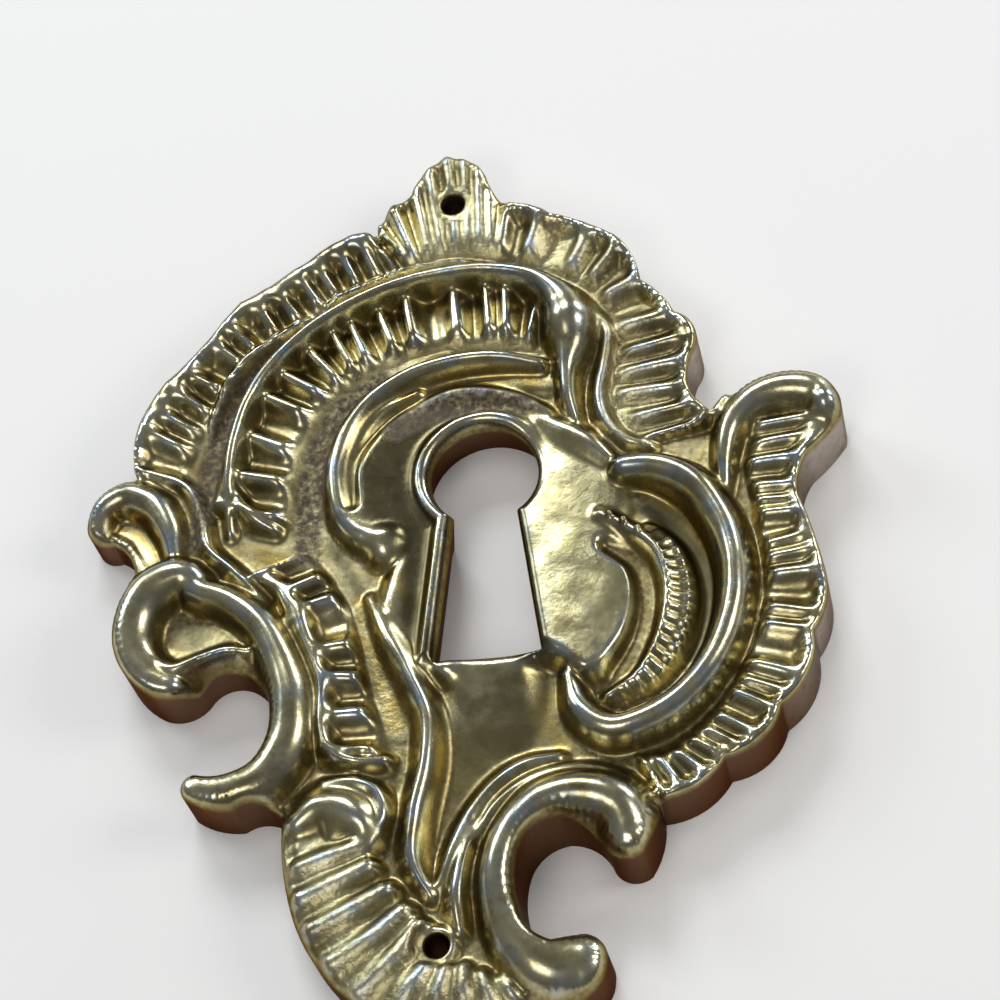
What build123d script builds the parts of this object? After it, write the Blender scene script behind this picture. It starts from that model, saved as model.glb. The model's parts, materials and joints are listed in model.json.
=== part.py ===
from build123d import *
import math
import os

# Rococo keyhole escutcheon: one cast brass plate that lies on its back.
# +Z is the front, +Y points to the finial. All sizes are in millimetres.
# Guide points are in plan, from a drawing origin near the keyhole's neck.

# Heights above the back plane
GROUND = 3.4            # floor of the carving
RIDGE_ROOT = 2.9        # buried foot of every raised ridge
FLUTE_ROOT = 1.6        # buried foot of every flute
REACH = 3 * GROUND      # how far the cutters reach past the front and the back

# Hollow back
ROOF = 2.0              # height of the hollow's roof
COLLAR = 1.6            # wall left standing round the keyhole
HOLLOW_R = 1.5          # rounding of the hollow's corners

# Keyhole
KEYHOLE = (-0.85, 1.4)  # centre of the round
KEYHOLE_R = 3.55
NECK_HALF = 2.1
FOOT_HALF = 3.45
FOOT_DROP = 13.2        # from the round's centre down to the foot
RIM = 0.5               # bevel of the front edge

# Smooth domed shield round the keyhole, wide enough to carry the corners of its foot
SHIELD = (-0.5, -3.2)
SHIELD_LAND = 1.1       # left between the bevel and the shield's edge
SHIELD_CREST = 5.0
FOOT_CORNER = (KEYHOLE[0] - FOOT_HALF, KEYHOLE[1] - FOOT_DROP)
SHIELD_R = math.dist(SHIELD, FOOT_CORNER) + RIM + SHIELD_LAND

# Nail holes
NAIL_D = 1.6
NAILS = [(-2.5, 22.7), (-4.6, -30.7)]

# Outline in plan, in runs between its corners, clockwise from the finial's tip.
# Each run is a chain of arcs: its ends and every second point are where arcs meet.
OUTLINE = [
    [(-2.9, 26.7), (-1.2, 26.1), (-0.2, 24.8), (0.3, 23.4), (1.2, 22.1)],
    [(1.2, 22.1), (3.0, 21.6), (4.2, 20.8)],
    [(4.2, 20.8), (6.4, 19.9), (8.5, 18.5), (9.7, 16.6), (10.0, 14.8)],
    [(10.0, 14.8), (11.2, 13.7), (12.2, 12.0)],
    [(12.2, 12.0), (13.5, 10.5), (13.1, 8.6)],
    [(13.1, 8.6), (12.8, 6.4), (14.2, 4.2)],
    [(14.2, 4.2), (15.4, 5.4), (17.2, 6.2), (19.4, 6.4), (21.4, 5.7), (22.5, 4.3),
     (22.5, 2.8), (21.4, 1.5), (20.2, 0.4), (19.5, -1.0), (19.4, -2.5)],
    [(19.4, -2.5), (20.1, -5.0), (20.7, -8.0), (20.6, -10.4), (19.7, -12.2)],
    [(19.7, -12.2), (19.1, -15.2), (17.4, -17.0)],
    [(17.4, -17.0), (16.1, -19.1), (13.7, -20.1)],
    [(13.7, -20.1), (12.2, -21.7), (9.4, -22.6)],
    [(9.4, -22.6), (9.1, -24.6), (8.4, -26.0), (7.2, -26.3), (6.1, -25.5), (5.0, -24.0),
     (3.4, -23.4), (1.8, -24.0), (0.8, -25.4), (0.5, -27.2), (0.8, -29.2), (1.6, -30.8),
     (2.6, -31.3), (3.6, -30.9), (4.6, -30.7), (5.5, -31.3), (5.8, -32.6), (5.1, -34.2),
     (3.4, -34.9), (2.3, -35.0), (1.2, -34.8)],
    [(1.2, -34.8), (-1.5, -35.7), (-4.6, -36.1), (-7.4, -35.3), (-10.2, -33.4),
     (-12.4, -30.8), (-13.8, -27.6), (-14.4, -24.4), (-14.4, -21.0)],
    [(-14.4, -21.0), (-15.6, -20.2), (-17.4, -20.5), (-19.2, -20.2), (-20.6, -19.4),
     (-20.7, -18.4), (-19.8, -17.9), (-18.4, -18.2), (-16.8, -17.8), (-15.6, -16.6),
     (-15.0, -14.6), (-15.4, -12.4), (-16.6, -10.9), (-18.1, -10.4), (-19.6, -11.1),
     (-21.3, -12.3), (-22.8, -12.1), (-24.4, -10.7), (-25.4, -8.4), (-25.3, -6.4),
     (-24.6, -4.6), (-24.45, -3.9), (-24.4, -3.2)],
    [(-24.4, -3.2), (-24.9, -1.2), (-26.0, -0.2), (-27.4, 0.2), (-27.7, 1.4), (-27.0, 2.9),
     (-25.6, 3.8), (-24.95, 4.02), (-24.3, 4.1)],
    [(-24.3, 4.1), (-24.4, 6.2), (-23.9, 8.4), (-22.8, 10.4), (-21.6, 11.6)],
    [(-21.6, 11.6), (-19.3, 14.2), (-17.2, 16.7)],
    [(-17.2, 16.7), (-14.5, 18.1), (-12.0, 19.8)],
    [(-12.0, 19.8), (-9.8, 20.9), (-7.9, 21.2)],
    [(-7.9, 21.2), (-7.0, 22.8), (-5.4, 24.0), (-4.0, 26.0), (-2.9, 26.7)],
]

# Corners of the hollow back in plan, clockwise from the top
HOLLOW = [
    (-3.0, 20.0), (5.8, 17.6), (10.6, 10.4), (11.4, 4.2), (17.2, 0.8), (18.6, -8.0), (15.8, -16.0),
    (9.4, -20.2), (1.2, -20.2), (-4.2, -28.2), (-9.6, -28.2), (-12.6, -23.4), (-11.8, -15.6),
    (-14.2, -9.0), (-22.8, -8.0), (-22.4, 3.4), (-20.2, 10.4), (-12.4, 17.0),
]

# Sections of a raised ridge, as shares of its half width and of its height
SCROLL_SECTION = [(1.0, -0.2), (0.78, 0.66), (0.0, 1.0), (-0.78, 0.66), (-1.0, -0.2)]
LINE_SECTION = [(1.0, -0.2), (0.0, 1.0), (-1.0, -0.2)]

# Round scrolls, as stations: x, y, half width, crest height
BIG_SCROLL = [
    (-17.8, -0.8, 0.5, 4.0), (-17.7, 2.2, 0.8, 5.0), (-17.2, 5.9, 0.95, 5.5), (-15.6, 9.6, 0.95, 5.6),
    (-12.7, 12.7, 0.95, 5.7), (-8.6, 15.0, 0.95, 5.8), (-3.9, 16.2, 0.95, 5.8), (0.4, 16.1, 1.0, 5.8),
    (3.3, 15.1, 1.2, 5.8), (5.0, 13.0, 1.7, 5.9), (5.2, 10.8, 1.5, 5.6), (4.9, 8.6, 0.9, 5.1),
    (4.9, 6.5, 0.7, 4.9), (5.4, 4.4, 0.4, 4.2),
]
INNER_SCROLL = [
    (3.2, 9.3, 0.5, 4.6), (0.5, 9.9, 0.6, 5.1), (-3.0, 9.9, 0.65, 5.2), (-6.2, 9.0, 0.7, 5.2),
    (-8.8, 7.0, 0.75, 5.2), (-10.3, 4.2, 0.8, 5.2), (-10.6, 1.2, 0.8, 5.2), (-9.9, -1.2, 0.85, 5.1),
    (-8.4, -2.4, 1.0, 5.0), (-6.9, -2.4, 1.0, 4.6),
]
RIGHT_SCROLL = [
    (7.8, 0.8, 0.6, 4.6), (9.8, 0.4, 0.9, 5.5), (12.3, -0.9, 0.95, 5.8), (14.2, -3.8, 0.95, 5.9),
    (15.0, -7.4, 0.95, 5.9), (14.4, -11.4, 0.95, 5.8), (12.2, -15.1, 0.9, 5.7), (9.0, -17.3, 0.85, 5.6),
    (6.6, -17.6, 0.85, 5.5), (4.9, -16.2, 0.85, 5.4), (4.2, -13.6, 0.6, 4.8),
]
VOLUTE = [
    (14.7, -1.5, 0.5, 4.2), (14.9, 1.0, 0.7, 5.0), (15.6, 3.2, 0.8, 5.4), (17.2, 4.8, 0.85, 5.6),
    (19.2, 5.3, 0.9, 5.7), (21.0, 4.8, 0.95, 5.7), (21.8, 3.3, 0.95, 5.4),
]
LEFT_SCROLL = [
    (-20.2, -4.9, 0.8, 5.3), (-18.0, -5.9, 0.9, 5.6), (-15.7, -7.9, 1.0, 5.7), (-14.3, -10.7, 1.05, 5.7),
    (-13.5, -13.6, 1.1, 5.7), (-13.8, -16.4, 1.2, 5.5), (-15.5, -18.7, 1.2, 5.2), (-17.8, -19.2, 1.2, 5.0),
    (-19.4, -19.0, 1.1, 4.8),
]
LOBE_RIM = [
    (-19.2, -5.6, 0.8, 5.2), (-20.7, -4.2, 1.0, 5.8), (-22.8, -4.5, 1.1, 5.7), (-24.2, -6.2, 1.1, 5.5),
    (-24.4, -8.3, 1.1, 5.3), (-23.6, -10.2, 1.1, 5.1), (-22.0, -11.4, 1.0, 4.9),
]
LEAF_RIM = [
    (-21.4, -2.6, 0.5, 4.5), (-22.0, 0.2, 0.8, 4.8), (-23.2, 2.2, 0.85, 4.8), (-25.0, 3.0, 0.8, 4.5),
    (-26.6, 2.2, 0.7, 4.2), (-27.0, 0.9, 0.6, 3.8),
]
LOWER_SCROLL = [
    (7.7, -24.9, 1.5, 5.8), (7.1, -23.1, 1.55, 6.4), (4.8, -22.1, 1.5, 6.6), (2.2, -22.6, 1.5, 6.6),
    (0.5, -24.3, 1.35, 6.5), (-0.4, -26.6, 1.25, 6.3), (-0.3, -29.0, 1.25, 6.0), (0.7, -31.2, 1.4, 5.8),
    (2.4, -32.6, 1.6, 5.6), (4.2, -32.7, 1.6, 5.2),
]
SCROLLS = [
    BIG_SCROLL, INNER_SCROLL, RIGHT_SCROLL, VOLUTE, LEFT_SCROLL, LOBE_RIM, LEAF_RIM, LOWER_SCROLL,
]

# Sharp raised lines, as stations: x, y, half width, crest height
BEAD_RIDGE = [
    (7.0, -2.6, 0.4, 4.5), (8.6, -3.8, 0.45, 4.8), (10.0, -5.3, 0.5, 4.9), (10.7, -7.5, 0.5, 4.9),
    (10.6, -9.8, 0.5, 4.9), (9.9, -12.0, 0.45, 4.8), (8.5, -14.2, 0.4, 4.7), (6.6, -15.3, 0.35, 4.4),
]
LADDER_RAIL = [
    (-15.4, -3.9, 0.4, 4.4), (-12.9, -7.9, 0.6, 5.0), (-11.3, -12.4, 0.6, 5.0), (-11.2, -16.2, 0.6, 5.0),
    (-9.0, -18.5, 0.4, 4.3),
]
S_RIDGE = [
    (-8.5, -6.6, 0.35, 4.3), (-7.6, -9.2, 0.5, 5.0), (-5.9, -12.7, 0.65, 5.2), (-4.8, -15.8, 0.7, 5.2),
    (-4.9, -18.8, 0.7, 5.2), (-5.7, -22.2, 0.7, 5.1), (-5.9, -25.2, 0.6, 4.9), (-4.8, -27.6, 0.35, 4.3),
]
LOWER_LINE = [
    (9.3, -22.7, 0.3, 4.2), (8.0, -21.5, 0.45, 4.8), (6.0, -20.4, 0.5, 4.9), (3.8, -20.1, 0.5, 4.9),
    (1.4, -20.7, 0.5, 4.9), (-0.6, -22.2, 0.5, 4.9), (-1.8, -24.0, 0.45, 4.6),
]
LOWER_RIB = [
    (-2.2, -23.6, 0.5, 4.6), (-2.9, -26.0, 0.6, 4.9), (-3.2, -28.2, 0.6, 4.8), (-3.1, -29.8, 0.4, 4.2),
]
LINES = [BEAD_RIDGE, LADDER_RAIL, S_RIDGE, LOWER_LINE, LOWER_RIB]

# Fluted bands: guide lines of their outer and inner ends, in plan.
# The outer ones run past the outline, which trims them.
UPPER_LEFT_OUTER = [
    (-25.6, 5.0), (-25.4, 7.2), (-24.6, 9.4), (-22.8, 11.8), (-20.8, 14.4), (-18.6, 17.0),
    (-15.6, 19.0), (-12.4, 20.8), (-8.6, 22.2),
]
UPPER_LEFT_INNER = [
    (-20.6, 2.8), (-20.0, 5.0), (-19.2, 7.6), (-17.8, 10.2), (-15.8, 12.6), (-13.4, 14.6),
    (-10.8, 16.2), (-7.2, 17.6),
]
FINIAL_OUTER = [
    (-8.8, 21.8), (-7.6, 23.6), (-5.8, 25.0), (-4.6, 27.0), (-2.6, 27.8), (-0.4, 26.6), (0.8, 24.6),
    (1.6, 22.8),
]
FINIAL_INNER = [(-7.2, 17.6), (-3.0, 18.2), (0.8, 17.9)]
UPPER_RIGHT_OUTER = [
    (1.6, 22.8), (4.8, 21.6), (7.6, 20.3), (10.0, 18.2), (11.0, 15.4), (13.0, 12.8), (14.4, 10.2),
    (14.6, 7.4), (14.9, 4.8),
]
UPPER_RIGHT_INNER = [
    (0.8, 17.9), (2.8, 17.1), (4.6, 16.0), (6.2, 14.4), (7.3, 12.4), (7.7, 10.4), (7.5, 8.2),
    (7.6, 6.2), (8.4, 4.2),
]
RIGHT_OUTER = [
    (21.0, 3.4), (20.9, 0.6), (20.6, -2.4), (21.2, -5.4), (21.7, -8.6), (21.3, -11.8), (20.4, -14.8),
    (18.8, -17.4), (16.6, -19.8), (13.8, -21.8), (10.4, -23.4),
]
RIGHT_INNER = [
    (15.8, 3.2), (15.8, 0.4), (16.1, -2.6), (16.6, -5.4), (16.8, -8.2), (16.5, -10.8), (15.5, -13.3),
    (14.0, -15.6), (12.1, -17.6), (9.4, -19.5),
]
BIG_SCROLL_OUTER = [
    (-17.4, 0.6), (-17.1, 4.2), (-15.8, 7.8), (-13.8, 10.5), (-11.0, 12.7), (-7.6, 14.2), (-4.0, 15.1),
    (-0.4, 15.2), (2.8, 14.4),
]
BIG_SCROLL_INNER = [
    (-13.6, 0.2), (-13.3, 3.7), (-12.3, 6.4), (-10.7, 8.5), (-8.3, 10.2), (-5.3, 11.2), (-2.0, 11.6),
    (1.0, 11.5), (3.2, 11.0),
]
LADDER_OUTER = [
    (-15.2, -3.4), (-13.8, -6.2), (-12.7, -8.2), (-11.5, -11.0), (-11.2, -13.4), (-11.6, -15.8),
    (-10.6, -18.0),
]
LADDER_INNER = [
    (-12.4, -2.8), (-10.4, -6.2), (-9.4, -9.2), (-8.9, -12.0), (-8.5, -14.0), (-7.9, -16.2), (-7.4, -17.8),
]
SHELL_OUTER = [
    (-15.4, -22.6), (-15.2, -25.8), (-14.0, -29.4), (-11.8, -32.8), (-8.8, -35.4), (-5.0, -37.0),
    (-1.4, -36.6), (1.4, -35.4),
]
SHELL_INNER = [
    (-9.0, -22.8), (-8.6, -25.2), (-7.8, -27.4), (-6.8, -29.4), (-6.0, -31.4), (-4.4, -32.4),
    (-2.4, -32.4), (-0.4, -33.2),
]

# Flutes: share of the width that each side slopes over, and widths along a band as a rhythm that repeats
FLUTE_SLOPE = 0.28
EVEN = [1.0]
PAIRED = [2.4, 0.8, 0.8]

# Bands: outer line, inner line, rhythm, repeats, outer height, inner height, hollow of a flute per width
BANDS = [
    (UPPER_LEFT_OUTER, UPPER_LEFT_INNER, EVEN, 13, 4.1, 3.8, 0.22),
    (FINIAL_OUTER, FINIAL_INNER, EVEN, 8, 4.1, 4.1, 0.2),
    (UPPER_RIGHT_OUTER, UPPER_RIGHT_INNER, EVEN, 8, 4.5, 4.0, 0.18),
    (RIGHT_OUTER, RIGHT_INNER, PAIRED, 6, 4.5, 4.1, 0.2),
    (BIG_SCROLL_OUTER, BIG_SCROLL_INNER, EVEN, 10, 4.2, 4.4, 0.24),
    (LADDER_OUTER, LADDER_INNER, EVEN, 6, 4.3, 4.3, 0.18),
    (SHELL_OUTER, SHELL_INNER, EVEN, 11, 4.0, 4.2, -0.2),
]

# Round knob at the head of the shell: x, y, radius, crest height
KNOB = (-10.6, -22.0, 2.0, 5.4)

# Dishes sunk into the ground: x, y, radius of the sphere that cuts them, depth
DISHES = [
    (-24.6, 0.9, 5.0, 0.7),
    (-20.4, -8.2, 8.0, 0.6),
    (-2.6, -20.0, 12.0, 0.8),
]

UPWARD = (Align.CENTER, Align.CENTER, Align.MIN)


def arc_chain(points):
    """Arcs end to end: each takes three points and starts where the last one stops."""
    return [ThreePointArc(*points[i:i + 3]) for i in range(0, len(points) - 2, 2)]


def ridge(stations, section):
    """Raised ridge: a loft through upright sections whose foot is buried in the ground."""
    faces = []
    for i, (x, y, half, crest) in enumerate(stations):
        before = stations[max(i - 1, 0)]
        after = stations[min(i + 1, len(stations) - 1)]
        along = Vector(after[0] - before[0], after[1] - before[1], 0).normalized()
        across = Vector(-along.Y, along.X, 0)
        upright = Plane(origin=(x, y, RIDGE_ROOT), x_dir=across, z_dir=along)
        corners = [(u * half, v * (crest - RIDGE_ROOT)) for u, v in section]
        faces.append(upright * make_face(Polyline(*corners, close=True)))
    return loft(faces)


def turned_knob(x, y, r, crest):
    """Round knob: half of the scroll's section turned about its middle."""
    half = [(u * r, v * (crest - RIDGE_ROOT)) for u, v in SCROLL_SECTION if u >= 0]
    corners = [(0, half[0][1])] + half
    return Pos(x, y, RIDGE_ROOT) * revolve(Plane.XZ * make_face(Polyline(*corners, close=True)), Axis.Z)


def flute_end(a, b, top, dip):
    """Upright end face of a flute between two ribs at a and b: flat foot, trough on top."""
    near = a + (b - a) * FLUTE_SLOPE
    far = b + (a - b) * FLUTE_SLOPE
    corners = [
        (a.X, a.Y, top), (near.X, near.Y, top - dip), (far.X, far.Y, top - dip), (b.X, b.Y, top),
        (b.X, b.Y, FLUTE_ROOT), (a.X, a.Y, FLUTE_ROOT),
    ]
    return make_face(Polyline(*corners, close=True))


def fluted_band(outer, inner, rhythm, repeats, outer_z, inner_z, dip_share):
    """Flutes side by side between two guide lines, with a rib where two flutes meet."""
    outer_line = Spline(*outer)
    inner_line = Spline(*inner)
    widths = rhythm * repeats
    shares = [sum(widths[:i]) / sum(widths) for i in range(len(widths) + 1)]
    flutes = []
    for start, stop in zip(shares, shares[1:]):
        outer_a, outer_b = outer_line @ start, outer_line @ stop
        inner_a, inner_b = inner_line @ start, inner_line @ stop
        outer_end = flute_end(outer_a, outer_b, outer_z, dip_share * (outer_b - outer_a).length)
        inner_end = flute_end(inner_a, inner_b, inner_z, dip_share * (inner_b - inner_a).length)
        flutes.append(loft([outer_end, inner_end], ruled=True))
    return flutes[0].fuse(*flutes[1:])


def keyhole_face(grow=0.0):
    """Keyhole in plan, with its walls moved out by grow."""
    round_part = Circle(KEYHOLE_R + grow)
    neck_y = -math.sqrt(KEYHOLE_R**2 - NECK_HALF**2)
    foot = Polygon(
        (-NECK_HALF - grow, neck_y), (NECK_HALF + grow, neck_y),
        (FOOT_HALF + grow, -FOOT_DROP - grow), (-FOOT_HALF - grow, -FOOT_DROP - grow), align=None,
    )
    return Pos(*KEYHOLE) * (round_part + foot)


def level_sphere(r):
    """Sphere with its poles and its seam at the sides, clear of its top and bottom."""
    return Rot(90, 0, 0) * Sphere(r)


def ground_slab(outline_box):
    """Block wider and deeper than the plate, up to the floor of the carving, with the dishes sunk into it."""
    middle = outline_box.center()
    block = Box(outline_box.size.X + REACH, outline_box.size.Y + REACH, GROUND + REACH, align=UPWARD)
    slab = Pos(middle.X, middle.Y, -REACH) * block
    for x, y, r, depth in DISHES:
        slab -= Pos(x, y, GROUND + r - depth) * level_sphere(r)
    return slab


def shield_with_keyhole(slab):
    """Slab with the domed shield on it and the keyhole through both, its front edge bevelled."""
    rise = SHIELD_CREST - GROUND
    dome_r = (SHIELD_R**2 + rise**2) / (2 * rise)
    dome = Pos(*SHIELD, SHIELD_CREST - dome_r) * level_sphere(dome_r)
    dome &= Pos(*SHIELD, FLUTE_ROOT) * Cylinder(SHIELD_R + REACH, REACH, align=UPWARD)
    body = slab + dome
    body -= extrude(keyhole_face(), 2 * REACH, both=True)
    rim = [edge for edge in body.edges() if edge.bounding_box().min.Z > GROUND + 0.1]
    return chamfer(rim, RIM)


def hollow_back():
    """What is taken out of the back, with the collar round the keyhole left standing."""
    roof = make_face(FilletPolyline(*HOLLOW, close=True, radius=HOLLOW_R)) - keyhole_face(COLLAR)
    return Pos(0, 0, -REACH) * extrude(roof, REACH + ROOF)


def escutcheon():
    """The whole plate, in the drawing's frame."""
    edges = [arc for run in OUTLINE for arc in arc_chain(run)]
    outline = make_face(edges)
    body = shield_with_keyhole(ground_slab(outline.bounding_box()))
    carving = [fluted_band(*band) for band in BANDS]
    carving += [ridge(stations, SCROLL_SECTION) for stations in SCROLLS]
    carving += [ridge(stations, LINE_SECTION) for stations in LINES]
    carving.append(turned_knob(*KNOB))
    body = body.solid().fuse(*[piece.solid() for piece in carving])
    body &= extrude(outline, REACH)
    body -= hollow_back()
    for x, y in NAILS:
        body -= Pos(x, y, -REACH) * Cylinder(NAIL_D / 2, 3 * REACH, align=UPWARD)
    return body


os.makedirs("parts", exist_ok=True)
plate = escutcheon()
box = plate.bounding_box()
shift = Pos(-box.center().X, -box.center().Y, 0)
export_step(shift * plate.solid(), "parts/escutcheon.step")
print("box", box.size, "shift", shift.position)
print("volume", plate.volume, "valid", plate.is_valid, "solids", len(plate.solids()))
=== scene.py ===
import json
import math

import bmesh
import bpy
import numpy as np
from mathutils import Matrix, Vector
from mathutils.geometry import delaunay_2d_cdt
from mathutils.noise import noise as noise_at

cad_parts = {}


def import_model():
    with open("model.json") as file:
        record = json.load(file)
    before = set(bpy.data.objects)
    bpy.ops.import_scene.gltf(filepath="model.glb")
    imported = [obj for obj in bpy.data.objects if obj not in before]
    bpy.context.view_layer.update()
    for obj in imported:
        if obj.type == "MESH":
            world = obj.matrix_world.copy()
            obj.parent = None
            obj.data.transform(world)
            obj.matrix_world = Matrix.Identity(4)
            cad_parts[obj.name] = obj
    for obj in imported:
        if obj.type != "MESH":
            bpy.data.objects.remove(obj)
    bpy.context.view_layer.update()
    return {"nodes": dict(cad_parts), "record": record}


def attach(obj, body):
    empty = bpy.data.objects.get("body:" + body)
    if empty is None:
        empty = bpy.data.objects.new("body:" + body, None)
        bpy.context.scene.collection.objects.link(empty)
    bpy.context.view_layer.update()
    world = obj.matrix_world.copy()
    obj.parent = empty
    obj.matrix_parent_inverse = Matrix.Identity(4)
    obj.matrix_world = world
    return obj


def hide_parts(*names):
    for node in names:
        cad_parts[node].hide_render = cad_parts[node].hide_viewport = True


# Cast brass keyhole escutcheon. The carving is one relief: a height for every point in plan,
# raised over the solid's own outline, keyhole and nail holes.
# Guide points are in millimetres in plan, from the drawing's origin near the keyhole's neck.
# A pair of values named for a fade or an edge is where a change starts and where it ends.

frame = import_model()

MM = 0.001
TINY = 1e-9
NODE = "escutcheon"
NAIL_IN_DRAWING = (-2.5, 22.7)

# Spacing of the relief's points
POINT_STEP = 0.165
ROW_STEP = 0.866 * POINT_STEP
EDGE_STEP = 0.2
GUIDE_STEP = 0.2
BACK_STEP = 1.0
COLLAR_STEP = 0.1
SAME_POINT = 1e-7

# Edges
EDGE_RINGS = [0.04, 0.12, 0.25, 0.42, 0.6]
RING_CLEARANCE = 0.9 * EDGE_RINGS[0]
FIELD_CLEARANCE = EDGE_RINGS[-1] + 0.4 * POINT_STEP
OUTER_EDGE_R = 0.55
KEYHOLE_EDGE_R = 0.7
NAIL_EDGE_R = 0.25
NAIL_LAND = (0.2, 0.9)        # even ground round a nail hole
NAIL_REACH = 1.0
KEYHOLE_DRAFT = 0.7           # how much wider each side of the keyhole is at the back
KEYHOLE_MARGIN = 0.1
SHARP_ANGLE = 60              # edges that turn further, in degrees, stay sharp

# Heights
GROUND = 3.4
RIDGE_ROOT = 2.6
ROOF = 2.0
TOP = 6.61

# Sections of the carving
SCROLL_SPREAD = 1.3           # foot of a scroll's round, in its half widths
SCROLL_BLEND = 0.35
LINE_SPREAD = 1.8             # the same for a thin line
KNOB_BLEND = 0.9
PEARL_BLEND = 0.2
FLOOR_FADE = (0.55, 1.35)     # a sunk floor's edge, in its half widths
STRIP_FADE = (0.6, 1.4)       # the same for a strip of finish
SOFTENING = 0.26              # how far the casting softens the carving
NOTCH_PITCH = 0.85
NOTCH_DEPTH = 0.22
NOTCH_FADE = (0.7, 1.05)

# Shield: arched and leaning back right of the keyhole, falling towards the keyhole on the left
SHIELD_RIGHT_Z = 5.15
SHIELD_RIGHT_Y = -9.0
SHIELD_ARCH = 108
SHIELD_DROOP = 0.0003
SHIELD_LEAN = 0.075
SHIELD_LEFT_Z = 3.75
SHIELD_LEFT_X = -3.2
SHIELD_LEFT_RISE = 0.2
SHIELD_TURN = (-2.6, 0.4)
SHIELD_SLANT = 0.25
SHIELD_FADE = (-0.9, 0.5)
SHIELD_REACH = 3.0

# Rolled rim, left of the keyhole and over it
RIM_Z = 4.7
RIM_RISE = 0.2                # how much higher the rim stands beside the slot
RIM_RISE_Y = (-3.0, 3.0)
RIM_HALF = 0.55               # half its width, and its crest's distance from the keyhole's edge
RIM_POWER = 4
RIM_FADE = (1.2, 2.0)
RIM_RIGHT = (-0.5, 2.5)
RIM_FOOT = (-12.6, -11.4)

# Flutes, with places along them from 0 at the outer end to 1 at the inner end
OUTER_RUN = 0.5
INNER_RUN = 0.08
FLUTE_START = 0.14
LIPPED_START = 0.3
FLUTE_MOUTH = 0.34
FLUTE_END = (0.75, 1.0)
FLUTE_CLOSE = 0.5
LIP_FADE = (-0.05, 0.2)
BAND_FADE = (0.72, 1.08)
SCOOP_FLAT = 0.4
SCOOP_SIDE = (0.1, 0.9)
SCOOP_ROUND = 0.6
SCOOP_POWER = 2.1
SCOOP_WIDTH = 1.2             # narrower flutes are less deep
SCOOP_LEAST = 0.4
UNEVEN = 0.1                  # ribs of one band differ in height
UNEVEN_TURN = 2.3
DRAWN = 0.12                  # streaks along the flutes
DRAWN_ACROSS = 2.2
DRAWN_APART = 5.3
DRAWN_ALONG = 0.9

# Unevenness of the cast surface: waves per millimetre, height, layer of the noise
WIDE_WAVE = (0.5, 0.04, 3.0)
FINE_WAVE = (1.7, 0.004, 8.0)

# Where dirt, wear, painted shade and painted highlights lie
NEAR_REACH = 0.653
WIDE_REACH = 1.789
NEAR_HOLLOW = (0.01, 0.09)
NEAR_SHARE = 0.6
WIDE_HOLLOW = (0.1, 0.6)
WIDE_SHARE = 0.5
LOW_FLOOR = (3.3, 4.2)
LOW_SHARE = 0.7
HOLLOW_CUT_SHARE = 0.5
CREST_EDGE = (0.02, 0.15)
FLANK_EDGE = (0.4, 1.3)
TURNED_EDGE = (0.35, 0.95)    # painted shade on the keyhole's edge at the right of its slot
TURNED_X = (0.2, 1.4)
TURNED_Y = (-1.0, 1.5)
TURNED_REACH = 1.0

# Colours of the brass
BRASS_DULL = (0.53, 0.47, 0.235)
BRASS_PALE = (0.84, 0.785, 0.48)
# Pale crests: wear with a painted highlight
CREST_WEAR_AND_PAINTED_HIGHLIGHT = (0.97, 0.94, 0.75)
STAIN = (0.24, 0.19, 0.085)
# Painted blue reflection on the crests
PAINTED_BLUE_REFLECTION = (0.56, 0.68, 0.78)
# Painted gold reflection
PAINTED_GOLD_REFLECTION = (0.72, 0.52, 0.14)
# Painted shade on steep flanks
PAINTED_FLANK_SHADE = (0.20, 0.17, 0.095)
# Dirt and painted shade in the hollows and on low floors
HOLLOW_DIRT_AND_SHADE = (0.29, 0.22, 0.085)
# Painted shade on the left shield, the bead groove and the keyhole's edge
PAINTED_DARK_SHADE = (0.145, 0.124, 0.066)
# Walls: painted shade at the left, painted light at the right
WALL_PAINTED_SHADE = (0.20, 0.12, 0.084)
WALL_PAINTED_LIGHT = (0.54, 0.48, 0.43)
PIT_SHADE = (0.17, 0.125, 0.055)
ROUGH_CAST = (0.13, 0.103, 0.084)
SHEEN_TINT = (0.25, 0.2, 0.17)

# How much of each colour shows
CREST_SHARE = 0.4
STAIN_SHARE = 0.55
BLUE_REFLECTION_SHARE = 0.8
GOLD_REFLECTION_SHARE = 0.8
FLANK_SHARE = 0.45
DARK_SHARE = 0.9
PIT_SHARE = 0.35

# Noise on the brass: spots per metre, detail
BLOTCHES = (350, 3)
DENTS = (900, 3)
GRAIN = (2600, 4)
PITS = (1300, 5)
STAINS = (230, 4)
BLUE_REFLECTION_SPOTS = (500, 2)
NOISE_ROUGHNESS = 0.6

# Values of the noise between which each finish and each painted mark comes in
BLOTCH_EDGE = (0.35, 0.65)
PIT_EDGE = (0.52, 0.68)
STAIN_EDGE = (0.52, 0.62)
BLUE_REFLECTION_EDGE = (0.45, 0.65)
GOLD_REFLECTION_EDGE = (0.3, 0.55)
HOLLOW_DIRT_AND_SHADE_EDGE = (0.2, 0.6)
ROUGH_EDGE = (0.25, 0.6)

# Walls: brown painted shade at the left, grey painted light at the right, where the lamp reaches them
WALL_FACING = (1.0, 0.5, 0.0)
WALL_TURN = (0.013, 0.019)
WALL_FADE = (0.0, 0.12)

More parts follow.
